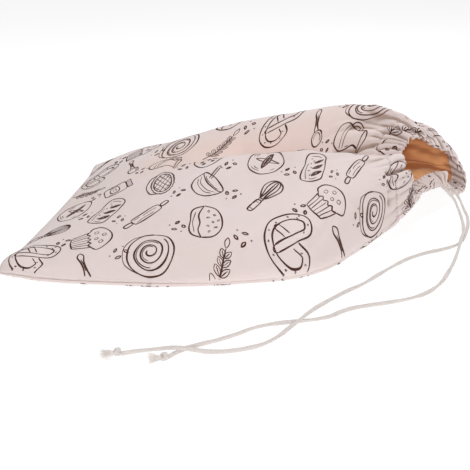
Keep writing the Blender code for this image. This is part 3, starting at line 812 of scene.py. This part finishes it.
def rolling_pin():
    bold = [arc(0, 0, 31, 10, power=0.4), arc(-20.5, 0, 8.5, 4.4, power=0.6),
            arc(20.5, 0, 8.5, 4.4, power=0.6)]
    fine = [spline(((-12, 2.4), (-3, 1.8), (7, 2.6))), spline(((-3, -1.4), (5, -1.9), (12, -1.2))),
            spline(((-13, -2.6), (-9, -2.2), (-6, -2.7))), arc(0, 0, 28, 10, 60, 66, 0.4)]
    return bold, fine


def cinnamon_roll():
    part = np.linspace(0.0, 1.0, 90)
    angle = 2 * math.pi * 2.7 * part + 0.6
    radius = 17.0 - 14.5 * part
    spiral = np.stack([radius * np.cos(angle), 0.9 * radius * np.sin(angle)], axis=1)
    inner = spiral * (1 - 1.7 / radius)[:, None]
    bold = [spline(((19, 1), (16, 12), (6, 18), (-7, 17.5), (-17, 11), (-20, 0), (-16, -11),
                    (-5, -17.5), (8, -17), (17, -10)), True), spiral]
    fine = [inner[12:34], inner[46:66], spline(((-19, -6), (-14, -17), (0, -22), (13, -18),
                                               (18, -9)))]
    return bold, fine


def cob_loaf():
    bold = [spline(((20, 0), (16, 12), (4, 18), (-10, 16), (-19, 7), (-20, -5), (-12, -14),
                    (1, -17), (13, -13)), True),
            grain(0, 2, 27, 5.5, 24)]
    cross = grain(0, 2, 25, 5.0, 112)
    near = np.abs(turned(cross - (0, 2), -24)[:, 1]) > 2.4
    bold += runs(cross, near)
    fine = [scribble(0, 2, 26, 5.5, 24, 16), arc(0, 0, 34, 29, 205, 250),
            arc(0, 0, 28, 24, 210, 244), arc(0, 0, 33, 28, 300, 335),
            arc(0, 0, 27, 23, 305, 330), arc(0, 0, 33, 28, 140, 160)]
    return bold, fine


def muffin():
    bold = [spline(((-13, -2), (-18, 2), (-15, 9), (-7, 16), (2, 17.5), (11, 14), (17, 7),
                    (17, 1), (13, -2))),
            spline(((-13, -2), (-9, -4), (-6, -1.5), (-3, -4), (0, -1.5), (3.5, -4), (6.5, -1.5),
                    (9.5, -4), (13, -2))),
            spline(((-13, -2), (-11, -10), (-9, -18))), spline(((13, -2), (11, -10), (9, -18))),
            spline(((-9, -18), (0, -19.5), (9, -18)))]
    fine = [np.array([(x, -3.5), (x * 0.72, -18.5)]) for x in (-8.5, -4.5, 0, 4.5, 8.5)]
    fine += [arc(-7, 7, 4, 4), arc(3, 11, 4, 3.6), arc(9, 4.5, 4, 4), arc(-1, 3.5, 3.4, 3.4)]
    return bold, fine


def leaf_sprig():
    stem = spline(((-6, -24), (-3, -10), (1, 4), (7, 18)))
    bold = [stem]
    fine = []
    for i, part in enumerate((0.22, 0.38, 0.54, 0.7, 0.84)):
        x, y = stem[int(part * (len(stem) - 1))]
        for side in (-1, 1):
            turn = 72 - side * (48 - 4 * i)
            reach = 5.6 - 0.4 * i
            dx, dy = reach * math.cos(math.radians(turn)), reach * math.sin(math.radians(turn))
            fine.append(grain(x + dx, y + dy, 2 * reach - 0.6, 4.2, turn))
            fine.append(np.array([(x + 0.3 * dx, y + 0.3 * dy), (x + 1.5 * dx, y + 1.5 * dy)]))
    fine.append(grain(8.8, 22.5, 9, 3.8, 70))
    return bold, fine


def whisk():
    bold = [arc(0, -17, 5.4, 17, power=0.5), arc(0, -7.5, 4.4, 2.6, power=0.5)]
    fine = [np.array([(-2, -12), (2, -12)]), np.array([(-2, -22), (2, -22)])]
    for wide in (9.0, 5.2, 1.4):
        bold.append(mirrored(((-1.4, -6), (-0.75 * wide, 3), (-wide, 12), (-0.65 * wide, 19.5),
                              (0, 22))))
    return bold, fine


def tin_loaf():
    bold = [spline(((-21, -9), (-22, 1), (-20, 9), (-10, 12.5), (4, 13), (17, 10.5), (22, 4),
                    (21, -9), (0, -10.5)), True)]
    bold += [grain(x, 4.5, 12, 3.6, 62) for x in (-12, -2, 8)]
    fine = [spline(((-19, -6), (-6, -7.5), (4, -7.2))), spline(((16, 6), (17.5, 1), (17, -6))),
            spline(((-18, 5), (-19, 0), (-18, -3)))]
    fine += [scribble(x, 4.5, 12, 3.6, 62) for x in (-12, -2, 8)]
    fine += [grain(x, y, 2.0, 1.0, 30 + 50 * i) for i, (x, y) in enumerate((
        (-14, -2), (-8, -4), (-3, -2.5), (4, -4), (9, -1.5), (13, -5)))]
    return bold, fine


def lattice_pie():
    angle = np.linspace(0.0, 2 * math.pi, 145)
    swell = 1.0 + 0.045 * np.abs(np.sin(9 * angle))
    rim = np.stack([21 * swell * np.cos(angle), 3 + 12 * swell * np.sin(angle)], axis=1)
    bold = [rim, arc(0, 3, 36, 19), mirrored(((-20.5, 0), (-16, -10), (-8, -13.5), (0, -14.5)))]
    fine = []
    for slope in (0.55, -0.55):
        for shift in (-11, -5.5, 0, 5.5, 11):
            x = np.linspace(-18, 18, 60)
            line = np.stack([x, 3 + slope * x + shift], axis=1)
            keep = (x / 18) ** 2 + ((line[:, 1] - 3) / 9.5) ** 2 < 1
            fine += runs(line, keep)
    return bold, fine


def wooden_spoon():
    bold = [arc(0, 15, 13.5, 19, power=0.9),
            mirrored(((-2.6, 6), (-1.5, 0), (-1.6, -14), (-2.2, -24), (0, -26.5)))]
    fine = [arc(0, 15, 8.5, 13.5, 200, 420), spline(((0, -2), (0.2, -10), (-0.1, -18)))]
    return bold, fine


def seeded_bun():
    bold = [spline(((-20, -3), (-18, 6), (-9, 12.5), (4, 13), (15, 8.5), (20, -2))),
            spline(((-20, -3), (-11, -6), (-2, -4.6), (9, -6.4), (20, -2))),
            spline(((-20, -3), (-17, -10.5), (0, -13), (16, -11), (20, -2)))]
    fine = [grain(x, y, 2.8, 1.5, 25 + 47 * i) for i, (x, y) in enumerate((
        (-13, 3), (-8, 8), (-6, 2), (-1, 6), (1, 10.5), (5, 2), (8, 7), (13, 2)))]
    fine.append(spline(((-14, -9), (0, -10.8), (12, -9.4))))
    return bold, fine


def jam_jar():
    bold = [arc(0, -4, 25, 29, power=0.38), arc(0, 14.2, 20, 6.4, power=0.4),
            arc(0, -5, 16, 12, power=0.7)]
    fine = [np.array([(x, 16.2), (x, 12.4)]) for x in (-7, -3.5, 0, 3.5, 7)]
    fine += [spline(((-4, -4), (-1, -2.5), (1, -5), (4, -3.5))),
             spline(((-3, -7), (0, -6.4), (3, -7.4))), spline(((9.4, -12), (10, -4), (9.6, 4))),
             spline(((-10, -14), (-10.4, -9)))]
    return bold, fine


def mixing_bowl():
    bold = [arc(0, 7, 42, 9.5), mirrored(((-21, 7), (-18, -5), (-10, -13), (0, -14.5))),
            spline(((6, 8), (11, 15), (16.5, 23.5))), spline(((9, 6.6), (14, 14), (19, 22))),
            arc(17.8, 22.8, 3.2, 3.2, -30, 140)]
    fine = [mirrored(((-17, 1.5), (-9, -3), (0, -4.2))),
            mirrored(((-15.5, -2.5), (-8, -6.6), (0, -7.8))),
            arc(0, 6.2, 30, 4.6, 190, 350)]
    return bold, fine


def cookie():
    bold = [spline(((17, 0), (13.5, 10.5), (3, 16), (-9, 13.5), (-16, 5), (-16, -6), (-8, -14),
                    (3, -16), (13, -11)), True)]
    fine = []
    for i, (x, y) in enumerate(((-8, 5), (-2, -7), (6, 6), (9, -4), (-9, -5), (0, 1), (1, 11))):
        chip = arc(0, 0, 3.8, 2.8, power=0.7)
        bold.append(turned(chip, 50 * i) + (x, y))
        fine.append(turned(arc(0, 0, 1.8, 1.0), 50 * i) + (x, y))
    return bold, fine


def milk_jug():
    bold = [spline(((-9, 17), (-7.5, 9), (-12.5, 1), (-14, -8), (-9.5, -16.5), (0, -18),
                    (9.5, -16.5), (14, -8), (12.5, 1), (7.5, 9), (9, 16))),
            spline(((-9, 17), (-13, 19.5), (-6, 20.6), (3, 20), (9, 16), (1, 14.6), (-9, 17))),
            spline(((8, 11), (16, 12), (19.5, 5), (17.5, -3), (12.8, -5.5))),
            spline(((8.4, 8), (14, 8.6), (16, 4), (14.6, -1), (12.8, -2.4)))]
    fine = [spline(((-12, -3), (-4, -5), (5, -4.8), (12, -3))),
            spline(((-13, -7), (-4, -9), (5, -8.8), (13, -7))), spline(((-9, 4), (-10.6, 0)))]
    return bold, fine


def grains():
    shapes = [grain(x, y, 5.0, 2.2, turn) for x, y, turn in (
        (-5, 3, 30), (3, 5, 100), (0, -4, 165))]
    return shapes, [arc(7, -1, 1.3, 1.3), arc(-7, -4, 1.3, 1.3)]


# The repeat of the print. Columns: motif, place across and along (mm), turn (degrees) and size
TILE_SIZE = (200.0, 216.0)
TILE = (
    (pretzel, 24, 26, 18, 0.95), (whisk, 76, 22, -38, 0.98), (cob_loaf, 128, 30, 8, 1.05),
    (leaf_sprig, 176, 28, 32, 0.95),
    (muffin, 50, 74, -14, 1.05), (tin_loaf, 102, 78, 24, 1.02), (jam_jar, 152, 78, -20, 0.92),
    (wooden_spoon, 5, 78, 64, 0.9),
    (cinnamon_roll, 24, 128, 10, 1.02), (rolling_pin, 78, 124, 52, 1.05),
    (lattice_pie, 132, 132, -8, 1.02), (milk_jug, 182, 128, 16, 0.95),
    (seeded_bun, 54, 178, 12, 1.04), (mixing_bowl, 108, 184, -24, 0.98),
    (cookie, 158, 184, 0, 0.98), (leaf_sprig, 4, 182, -48, 0.98),
    (grains, 51, 44, 0, 1.0), (grains, 104, 52, 70, 1.0), (grains, 152, 50, 140, 1.0),
    (grains, 78, 96, 200, 0.9), (grains, 26, 102, 30, 1.0), (grains, 180, 100, 100, 1.0),
    (grains, 52, 152, 310, 1.0), (grains, 106, 154, 20, 1.0), (grains, 158, 156, 80, 1.0),
    (grains, 30, 204, 130, 1.0), (grains, 84, 208, 250, 1.0), (grains, 134, 208, 40, 1.0),
)
PRINT_SCALE = 0.98
MOTIF_SCALE = 1.02
BOLD_WIDTH = 1.45
FINE_WIDTH = 0.78
LINE_STEP = 1.1
PRINT_SEED = 8
HAND_SHAKE = 0.16
SHAKE_LENGTHS = (4.1, 3.3)
TAPER_LENGTH = 2.0
# Where the cords leave, the cloth has no print. Columns: place around, place along and reach
BLANKS = ((0.423, 0.408, 0.0105), (0.423, 0.392, 0.0105))
INK_LIFT = 0.00012
INK_SINK = 0.00008
PRINT_MARGIN = 0.0012
PRINT_END = BAG_LENGTH + HEM_WIDTH - HEM_STEP
TILES_AROUND = range(-1, 5)
TILES_ALONG = range(-1, 4)


def tile_lines():
    """All the lines of one repeat of the print, in millimetres, with their widths."""
    draw = np.random.default_rng(PRINT_SEED)
    lines = []
    for motif, x, y, turn, size in TILE:
        for strokes, width in zip(motif(), (BOLD_WIDTH, FINE_WIDTH)):
            for stroke in strokes:
                line = (turned(stroke * size * MOTIF_SCALE, turn) + (x, y)) * PRINT_SCALE
                reach = run_lengths(line)[-1]
                line = even_path(line, LINE_STEP, 3)
                even = np.linspace(0.0, reach, len(line))
                shake = draw.uniform(0.0, 2 * math.pi, 4)
                wobble = np.sin(even[:, None] / SHAKE_LENGTHS + shake[:2])
                body = 0.86 + 0.2 * np.sin(even / 5.3 + shake[2])
                taper = 0.55 + 0.45 * np.clip(np.minimum(even, reach - even) / TAPER_LENGTH, 0, 1)
                lines.append((line + HAND_SHAKE * wobble, width * body * taper))
    return lines


def bilinear(grid, rows, columns):
    """Values of a grid at broken row and column numbers."""
    row = np.clip(np.floor(rows).astype(int), 0, grid.shape[0] - 2)
    column = np.clip(np.floor(columns).astype(int), 0, grid.shape[1] - 2)
    a = (rows - row)[:, None]
    b = (columns - column)[:, None]
    low = grid[row, column] * (1 - b) + grid[row, column + 1] * b
    high = grid[row + 1, column] * (1 - b) + grid[row + 1, column + 1] * b
    return low * (1 - a) + high * a


def printed_side(shares, flat, grid):
    """The part of a panel that the print may be on, with its normals."""
    printed = int(np.argmax(flat >= PRINT_END)) + 1
    return shares, flat[:printed], grid[:printed], grid_normals(grid[:printed])


def on_cloth(cloth, places, lift):
    """Points over places on the flat cloth, lifted off it."""
    shares, flat, grid, normals = cloth
    rows = np.interp(places[:, 1], flat, np.arange(len(flat)))
    columns = np.interp(places[:, 0] / AROUND, shares, np.arange(len(shares)))
    return bilinear(grid, rows, columns) + lift * bilinear(normals, rows, columns)


def print_object(name, cloth, material):
    """The printed lines of one panel, as thin closed ribbons that follow its cloth."""
    low = cloth[0][0] * AROUND + PRINT_MARGIN
    high = cloth[0][-1] * AROUND - PRINT_MARGIN
    corners = ((1, INK_LIFT), (-1, INK_LIFT), (-1, -INK_SINK), (1, -INK_SINK))
    parts = []
    lines = tile_lines()
    for tile in ((u, v) for u in TILES_AROUND for v in TILES_ALONG):
        shift = PRINT_SCALE * np.array(tile) * TILE_SIZE
        for line, widths in lines:
            places = (line + shift) / 1000.0
            x, y = places.T
            keep = (x > low) & (x < high) & (y > 0.002) & (y < PRINT_END - 0.0006)
            if not keep.any():
                continue
            for blank_x, blank_y, reach in BLANKS:
                keep &= np.linalg.norm(places - (blank_x, blank_y), axis=1) > reach
            for part in runs(np.column_stack([places, widths / 1000.0]), keep):
                middle = part[:, :2]
                aside = (beside(middle, 1.0) - middle) * part[:, 2:] / 2
                rings = [on_cloth(cloth, middle + side * aside, lift) for side, lift in corners]
                parts.append(tube_skin(np.stack(rings, axis=1)))
    return join_parts(name, parts, material)


def even_path(points, step, least=2):
    """At least the least number of points along a line, evenly spaced and about a step apart."""
    run = run_lengths(points)
    even = np.linspace(0.0, run[-1], max(least, round(run[-1] / step) + 1))
    return np.stack([np.interp(even, run, values) for values in points.T], axis=1)


def cord_path(route):
    """Close points along the smooth curve through a route."""
    points = np.array([(x, y, z + CORD_HEIGHT) for x, y, z in route])
    stations = run_lengths(points)
    close = np.linspace(0.0, stations[-1], CURVE_STEPS * len(route))
    curve = through_points(stations, points, close)
    curve[:, 2] = np.maximum(curve[:, 2], CORD_HEIGHT)
    return even_path(curve, CORD_STEP)


def moving_frames(path):
    """Two directions across a path at each of its points, without twist."""
    ahead = np.gradient(path, axis=0)
    ahead /= np.linalg.norm(ahead, axis=1, keepdims=True)
    side = np.cross(ahead[0], (0.0, 0.0, 1.0))
    if np.linalg.norm(side) < 0.1:
        side = np.cross(ahead[0], (0.0, 1.0, 0.0))
    sides = []
    for direction in ahead:
        side = side - direction * np.dot(side, direction)
        side = side / np.linalg.norm(side)
        sides.append(side)
    sides = np.array(sides)
    return sides, np.cross(ahead, sides)


def tube_skin(rings):
    """Points and faces of a capped tube through rings of points."""
    count, sides = rings.shape[:2]
    number = np.arange(count * sides).reshape(count, sides)
    after = np.roll(number, -1, axis=1)
    quads = np.stack([number[:-1], after[:-1], after[1:], number[1:]], axis=2).reshape(-1, 4)
    caps = [number[0][::-1].tolist(), number[-1].tolist()]
    return rings.reshape(-1, 3), quads.tolist() + caps


def tube(path, radii, sides, twist=0.0, depth=0.0, roll=0.0, flatness=0.0):
    """A capped tube of twisted plies. roll turns its section where that is flatter one way.

    twist and roll are turns at each point, in radians.
    """
    across, up = moving_frames(path)
    angle = np.linspace(0.0, 2 * math.pi, sides, endpoint=False)
    around = angle - np.reshape(twist, (-1, 1))
    ply = np.abs(np.cos(CORD_PLIES / 2 * around)) ** PLY_ROUNDNESS * PLY_FULLNESS
    oval = 1.0 + flatness * np.cos(2 * (angle - np.reshape(roll, (-1, 1))))
    radius = radii[:, None] * (1.0 - depth + depth * ply) * oval
    return tube_skin(path[:, None, :] + across[:, None, :] * (radius * np.cos(angle))[:, :, None]
                     + up[:, None, :] * (radius * np.sin(angle))[:, :, None])


def join_parts(name, parts, material):
    verts = []
    faces = []
    total = 0
    for points, own in parts:
        verts.append(points)
        faces.extend([[n + total for n in face] for face in own])
        total += len(points)
    data = bpy.data.meshes.new(name)
    data.from_pydata(np.concatenate(verts).tolist(), [], faces)
    return finish_mesh(name, data, material)


def cord_object(name, path, material):
    run = run_lengths(path)
    uneven = 1.0 + sum(amount * np.sin(run / length) for amount, length in UNEVEN)
    roll = 2 * math.pi * run / CORD_ROLL + ROLL_SWAY[0] * np.sin(run / ROLL_SWAY[1])
    points, faces = tube(path, CORD_DIAMETER / 2 * uneven, CORD_SIDES,
                         2 * math.pi * run / CORD_PITCH, PLY_DEPTH, roll, CORD_FLATNESS)
    points[:, 2] = np.maximum(points[:, 2], 0.0)
    return join_parts(name, [(points, faces)], material)


def knot_object(name, path, fray_turn, seed, material, fray_material):
    """The wraps of a small overhand knot and the frayed brush of the cord's end."""
    draw = np.random.default_rng(seed)
    end = path[-1]
    heading = (end - path[-6]) * (1.0, 1.0, 0.0)
    heading /= np.linalg.norm(heading)
    side = np.array([-heading[1], heading[0], 0.0])
    up = np.array([0.0, 0.0, 1.0])
    centre = end + heading * (KNOT_LENGTH / 2 + KNOT_GAP)
    centre[2] = KNOT_RADIUS + KNOT_LIFT
    part = np.linspace(0.0, 1.0, WRAP_POINTS)[:, None]
    angle = 2 * math.pi * KNOT_TURNS * part + WRAP_START
    slide = (part - 0.5) * KNOT_LENGTH * WRAP_SPAN + WRAP_SWAY * np.sin(2 * angle)
    reach = np.sin(math.pi * np.minimum(1.0, 0.12 + part * 0.88)) ** 0.4
    reach = KNOT_RADIUS * (0.35 + 0.65 * reach)
    wraps = even_path(centre + heading * slide + side * reach * np.cos(angle)
                      + up * reach * WRAP_HEIGHT * np.sin(angle), WRAP_STEP)
    twist = 2 * math.pi * run_lengths(wraps) / CORD_PITCH
    parts = [tube(wraps, np.full(len(wraps), WRAP_RADIUS), WRAP_SIDES, twist, PLY_DEPTH)]
    through = even_path(np.array([end - heading * 0.001, centre + heading * KNOT_LENGTH * 0.6]),
                        CORD_STEP)
    parts.append(tube(through, np.full(len(through), CORD_DIAMETER / 2), THROUGH_SIDES))
    cos, sin = math.cos(fray_turn), math.sin(fray_turn)
    out = heading * cos + side * sin
    aside = side * cos - heading * sin
    root = centre + heading * (KNOT_LENGTH * 0.35)
    solid_faces = sum(len(faces) for _, faces in parts)
    part = np.linspace(0.0, 1.0, FIBRE_STEPS + 1)[:, None]
    for _ in range(FIBRES):
        spread = float(np.clip(draw.normal(0.0, FIBRE_SPREAD), -1.15, 1.15))
        lift = draw.uniform(*FIBRE_LIFT)
        length = FIBRE_LENGTH * draw.uniform(*FIBRE_LENGTHS)
        sway = draw.uniform(-FIBRE_SWAY, FIBRE_SWAY, 2)
        angle = FIBRE_FAN * spread
        aim = out * math.cos(angle) + aside * math.sin(angle)
        line = root + aside * (0.001 * spread) + up * (0.0006 * lift) + aim * length * part
        line += aside * sway[0] * np.sin(math.pi * part)
        line += up * (length * 0.42 * lift * part ** 1.3 + sway[1] * part * part)
        line[:, 2] = np.maximum(line[:, 2], FIBRE_RADIUS * 1.5)
        taper = np.linspace(1.15, 0.45, FIBRE_STEPS + 1) * FIBRE_RADIUS * draw.uniform(0.7, 1.3)
        parts.append(tube(line, taper, FIBRE_SIDES))
    knot = join_parts(name, parts, material)
    knot.data.materials.append(fray_material)
    for face in knot.data.polygons[solid_faces:]:
        face.material_index = 1
    return knot


def stitch_object(name, cloth, material):
    """The casing's row of stitches, sunk in their groove."""
    first, last = cloth[0][0] * AROUND, cloth[0][-1] * AROUND
    parts = []
    for start in np.arange(first + 0.002, last - 0.002, STITCH_PITCH):
        line = np.linspace(start, start + STITCH_LENGTH, len(STITCH_RADII))
        places = np.stack([line, np.full(len(line), HEM_LINE)], axis=1)
        parts.append(tube(on_cloth(cloth, places, STITCH_LIFT), np.array(STITCH_RADII), 6))
    return join_parts(name, parts, material)


def add_node(tree, kind, values=None, **settings):
    """A node with its settings, and with fixed values of its sockets."""
    made = tree.nodes.new(kind)
    for key, value in settings.items():
        setattr(made, key, value)
    for label, value in (values or {}).items():
        made.inputs[label].default_value = value
    return made


def math_node(tree, operation, first, second=None):
    made = add_node(tree, "ShaderNodeMath", operation=operation)
    for socket, value in zip(made.inputs, (first, second)):
        if value is None:
            continue
        if isinstance(value, (int, float)):
            socket.default_value = value
        else:
            tree.links.new(value, socket)
    return made.outputs[0]


def noise(tree, vector, scale, detail=3.0, roughness=0.5):
    made = add_node(tree, "ShaderNodeTexNoise",
                    {"Scale": scale, "Detail": detail, "Roughness": roughness})
    tree.links.new(vector, made.inputs["Vector"])
    return made.outputs["Fac"]


def mix_colour(tree, factor, first, second):
    made = add_node(tree, "ShaderNodeMix", data_type="RGBA")
    tree.links.new(factor, made.inputs["Factor"])
    for socket, colour in ((made.inputs["A"], first), (made.inputs["B"], second)):
        if isinstance(colour, tuple):
            socket.default_value = (*colour, 1.0)
        else:
            tree.links.new(colour, socket)
    return made.outputs["Result"]


def node_group(name, inputs, outputs):
    """An empty node group with named sockets, given as (name, kind)."""
    group = bpy.data.node_groups.new(name, "ShaderNodeTree")
    for way, sockets in (("INPUT", inputs), ("OUTPUT", outputs)):
        for label, kind in sockets:
            group.interface.new_socket(name=label, in_out=way, socket_type=f"NodeSocket{kind}")
    given = add_node(group, "NodeGroupInput").outputs
    return group, given, add_node(group, "NodeGroupOutput").inputs


def new_look(name, values):
    """A material with values of its shader's own sockets set, and its node tree and sockets."""
    look = bpy.data.materials.new(name)
    look.use_nodes = True
    inputs = look.node_tree.nodes["Principled BSDF"].inputs
    for label, value in values.items():
        inputs[label].default_value = value
    return look, look.node_tree, inputs


def cotton_look(name, group, places, colours, relief, values):
    """A cotton finish by one of the groups. Any emission is a painted glow; the lining and the
    frayed fibres have one, which lights them where they lie in shade.

    places names the point attribute that each vector of the group reads, or None for the
    object's own coordinates.
    """
    look, tree, inputs = new_look(name, values)
    colours = {label: (*colour, 1.0) if isinstance(colour, tuple) else colour
               for label, colour in colours.items()}
    placed = add_node(tree, "ShaderNodeGroup", colours, node_tree=group)
    for label, attribute in places.items():
        if attribute is None:
            vector = add_node(tree, "ShaderNodeTexCoord").outputs["Object"]
        else:
            vector = add_node(tree, "ShaderNodeAttribute", attribute_name=attribute).outputs[1]
        tree.links.new(vector, placed.inputs[label])
    for label in ("Base Color", "Emission Color"):
        tree.links.new(placed.outputs["Colour"], inputs[label])
    height, strength = relief
    bump = add_node(tree, "ShaderNodeBump", {"Distance": height, "Strength": strength})
    tree.links.new(placed.outputs["Height"], bump.inputs["Height"])
    tree.links.new(bump.outputs["Normal"], inputs["Normal"])
    return look


def woven_cotton():
    """Node group: threads both ways, slubs, uneven tone, painted shade between folds and painted
    warm light.
    """
    group, given, result = node_group(
        "woven_cotton",
        (("Place", "Vector"), ("Painted_shade_and_warmth", "Vector"), ("Thread", "Float"), ("Light", "Color"),
         ("Dark", "Color"), ("Painted_warm_light", "Color"), ("Painted_fold_shade", "Color")),
        (("Colour", "Color"), ("Height", "Float")))
    place = given["Place"]
    parts = add_node(group, "ShaderNodeSeparateXYZ")
    group.links.new(place, parts.inputs["Vector"])
    pitch = math_node(group, "DIVIDE", 2 * math.pi, given["Thread"])
    slub = noise(group, place, SLUB_SCALE, 2.0)
    threads = []
    for axis in (0, 1):
        wave = math_node(group, "MULTIPLY", parts.outputs[axis], pitch)
        wave = math_node(group, "ADD", wave, math_node(group, "MULTIPLY", slub, 3.0))
        threads.append(math_node(group, "SINE", wave))
    weave = math_node(group, "MULTIPLY", threads[0], threads[1])
    height = math_node(group, "ADD", math_node(group, "MULTIPLY", weave, 0.5),
                       math_node(group, "MULTIPLY", slub, 0.9))
    group.links.new(height, result["Height"])
    mottle = math_node(group, "MULTIPLY", noise(group, place, MOTTLE_SCALE, 4.0, 0.6), 0.4)
    fleck = math_node(group, "MULTIPLY", noise(group, place, FLECK_SCALE, 2.0), 0.35)
    patch = math_node(group, "SUBTRACT", noise(group, place, PATCH_SCALE, 2.0), 0.38)
    tone = math_node(group, "ADD", math_node(group, "ADD", mottle, fleck),
                     math_node(group, "MULTIPLY", patch, 1.6))
    split = add_node(group, "ShaderNodeSeparateXYZ")
    group.links.new(given["Painted_shade_and_warmth"], split.inputs["Vector"])
    colour = mix_colour(group, tone, given["Light"], given["Dark"])
    # Painted warm light on the far side of the cloth
    painted_warmth = math_node(group, "MULTIPLY", split.outputs[1], PAINTED_WARM_SHARE)
    colour = mix_colour(group, painted_warmth, colour, given["Painted_warm_light"])
    # Painted shade: the colour goes towards the fold colour between the folds
    depth = math_node(group, "MULTIPLY", split.outputs[0], PAINTED_FOLD_SHADE)
    group.links.new(mix_colour(group, depth, colour, given["Painted_fold_shade"]), result["Colour"])
    return group


def ink_look():
    """Printed ink, a little worn in places."""
    look, tree, inputs = new_look("ink", {"Roughness": 0.9, "Specular IOR Level": 0.15})
    place = add_node(tree, "ShaderNodeTexCoord").outputs["Object"]
    tone = noise(tree, place, INK_SCALE)
    tree.links.new(mix_colour(tree, tone, INK, WORN_INK), inputs["Base Color"])
    return look


def cotton_yarn():
    """Node group: fine fibres and uneven tone of soft cotton yarn."""
    group, given, result = node_group(
        "cotton_yarn", (("Place", "Vector"), ("Light", "Color"), ("Dark", "Color")),
        (("Colour", "Color"), ("Height", "Float")))
    fibre = noise(group, given["Place"], FIBRE_SCALE, 3.0, 0.7)
    tone = noise(group, given["Place"], YARN_SCALE)
    mixed = math_node(group, "ADD", math_node(group, "MULTIPLY", fibre, 0.6),
                      math_node(group, "MULTIPLY", tone, 0.4))
    group.links.new(mix_colour(group, mixed, given["Light"], given["Dark"]), result["Colour"])
    group.links.new(fibre, result["Height"])
    return group


LENS = 68.94
SENSOR = 36.0
CAMERA_PLACE = (0.037, -0.7753, 0.2655)
CAMERA_TILT = math.radians(70.0)
CAMERA_TURN = math.radians(5.0)
LIT_PLACE = Vector((0.05, 0.0, 0.03))
# Columns: name, place, size and power
LAMPS = (
    ("key", (-0.9, -0.3, 1.2), 0.4, 5.2),
    ("front", (0.0, -1.25, 0.42), 0.3, 5.2),
    ("right", (1.0, -0.6, 0.55), 0.4, 3.0),
    ("back", (0.3, 0.8, 1.1), 0.5, 9.5),
)
FLOOR_REACH = 6.0
FLOOR_FINISH = {
    "Base Color": (0.22, 0.22, 0.22, 1.0),
    "Roughness": 1.0,
    "Specular IOR Level": 0.0,
    "Emission Color": (1.0, 1.0, 1.0, 1.0),
    "Emission Strength": 0.86,
}
SKY_LIGHT = 0.26


def add_camera():
    data = bpy.data.cameras.new("camera")
    data.lens = LENS
    data.sensor_width = SENSOR
    data.clip_start = 0.01
    camera = bpy.data.objects.new("camera", data)
    camera.location = CAMERA_PLACE
    camera.rotation_euler = (CAMERA_TILT, 0.0, CAMERA_TURN)
    bpy.context.scene.collection.objects.link(camera)
    bpy.context.scene.camera = camera


def add_studio():
    """A white floor, soft light from all round, and lamps in front, behind and at both sides."""
    data = bpy.data.meshes.new("floor")
    corners = [(-1, -1), (1, -1), (1, 1), (-1, 1)]
    data.from_pydata([(x * FLOOR_REACH, y * FLOOR_REACH, 0.0) for x, y in corners], [],
                     [(0, 1, 2, 3)])
    data.materials.append(new_look("floor", FLOOR_FINISH)[0])
    floor = bpy.data.objects.new("floor", data)
    bpy.context.scene.collection.objects.link(floor)
    world = bpy.data.worlds.new("studio")
    world.use_nodes = True
    background = world.node_tree.nodes["Background"]
    background.inputs["Color"].default_value = (1.0, 1.0, 1.0, 1.0)
    background.inputs["Strength"].default_value = SKY_LIGHT
    bpy.context.scene.world = world
    for name, place, size, power in LAMPS:
        light = bpy.data.lights.new(name, "AREA")
        light.size = size
        light.energy = power
        lamp = bpy.data.objects.new(name, light)
        lamp.location = place
        lamp.rotation_euler = (LIT_PLACE - Vector(place)).to_track_quat("-Z", "Y").to_euler()
        bpy.context.scene.collection.objects.link(lamp)
    bpy.context.scene.view_settings.view_transform = "Standard"


def build():
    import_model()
    add_camera()

    yarn = cotton_yarn()
    cord_finish, fray_finish_and_glow = (
        cotton_look(name, yarn, {"Place": None}, colours, CORD_RELIEF, values)
        for name, colours, values in (("cord", CORD_COLOURS, CORD_FINISH),
                                      ("frayed_cord", FRAY_COLOURS, FRAY_FINISH_AND_GLOW)))
    for side, route, fray_turn, seed in STRANDS:
        path = cord_path(route)
        knot = knot_object(f"knot_{side}_look", path, fray_turn, seed, cord_finish, fray_finish_and_glow)
        inner = path[0] + (path[0] - path[8]) / np.linalg.norm(path[0] - path[8]) * CORD_START
        whole = np.concatenate([even_path(np.array([inner, path[0]]), CORD_STEP)[:-1], path])
        strand = cord_object(f"cord_{side}_look", whole, cord_finish)
        for piece, node in ((strand, f"cord_{side}"), (knot, f"knot_{side}")):
            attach(piece, "root")
            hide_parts(node)

    weave = woven_cotton()
    printed, tan = (
        cotton_look(name, weave, CLOTH_PLACES, colours, relief, values)
        for name, colours, relief, values in (
            ("printed_cloth", CLOTH_COLOURS, CLOTH_RELIEF, CLOTH_FINISH),
            ("lining_cloth", LINING_COLOURS, LINING_RELIEF, LINING_FINISH_AND_GLOW)))
    ink = ink_look()
    for side, first in (("front", 0.0), ("back", 0.5)):
        shares, flat, grid, tone = outer_grid(first)
        cloth = sheet_object(f"outer_{side}_look", shares, flat, grid, tone, printed)
        top = printed_side(shares, flat, grid)
        drawn = print_object(f"print_{side}", top, ink)
        stitches = stitch_object(f"stitches_{side}", top, printed)
        lining = sheet_object(f"lining_{side}_look", *lining_grid(first), tan)
        for piece in (cloth, drawn, stitches, lining):
            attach(piece, "root")
        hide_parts(f"outer_{side}")
        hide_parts(f"lining_{side}")

    add_studio()


build()
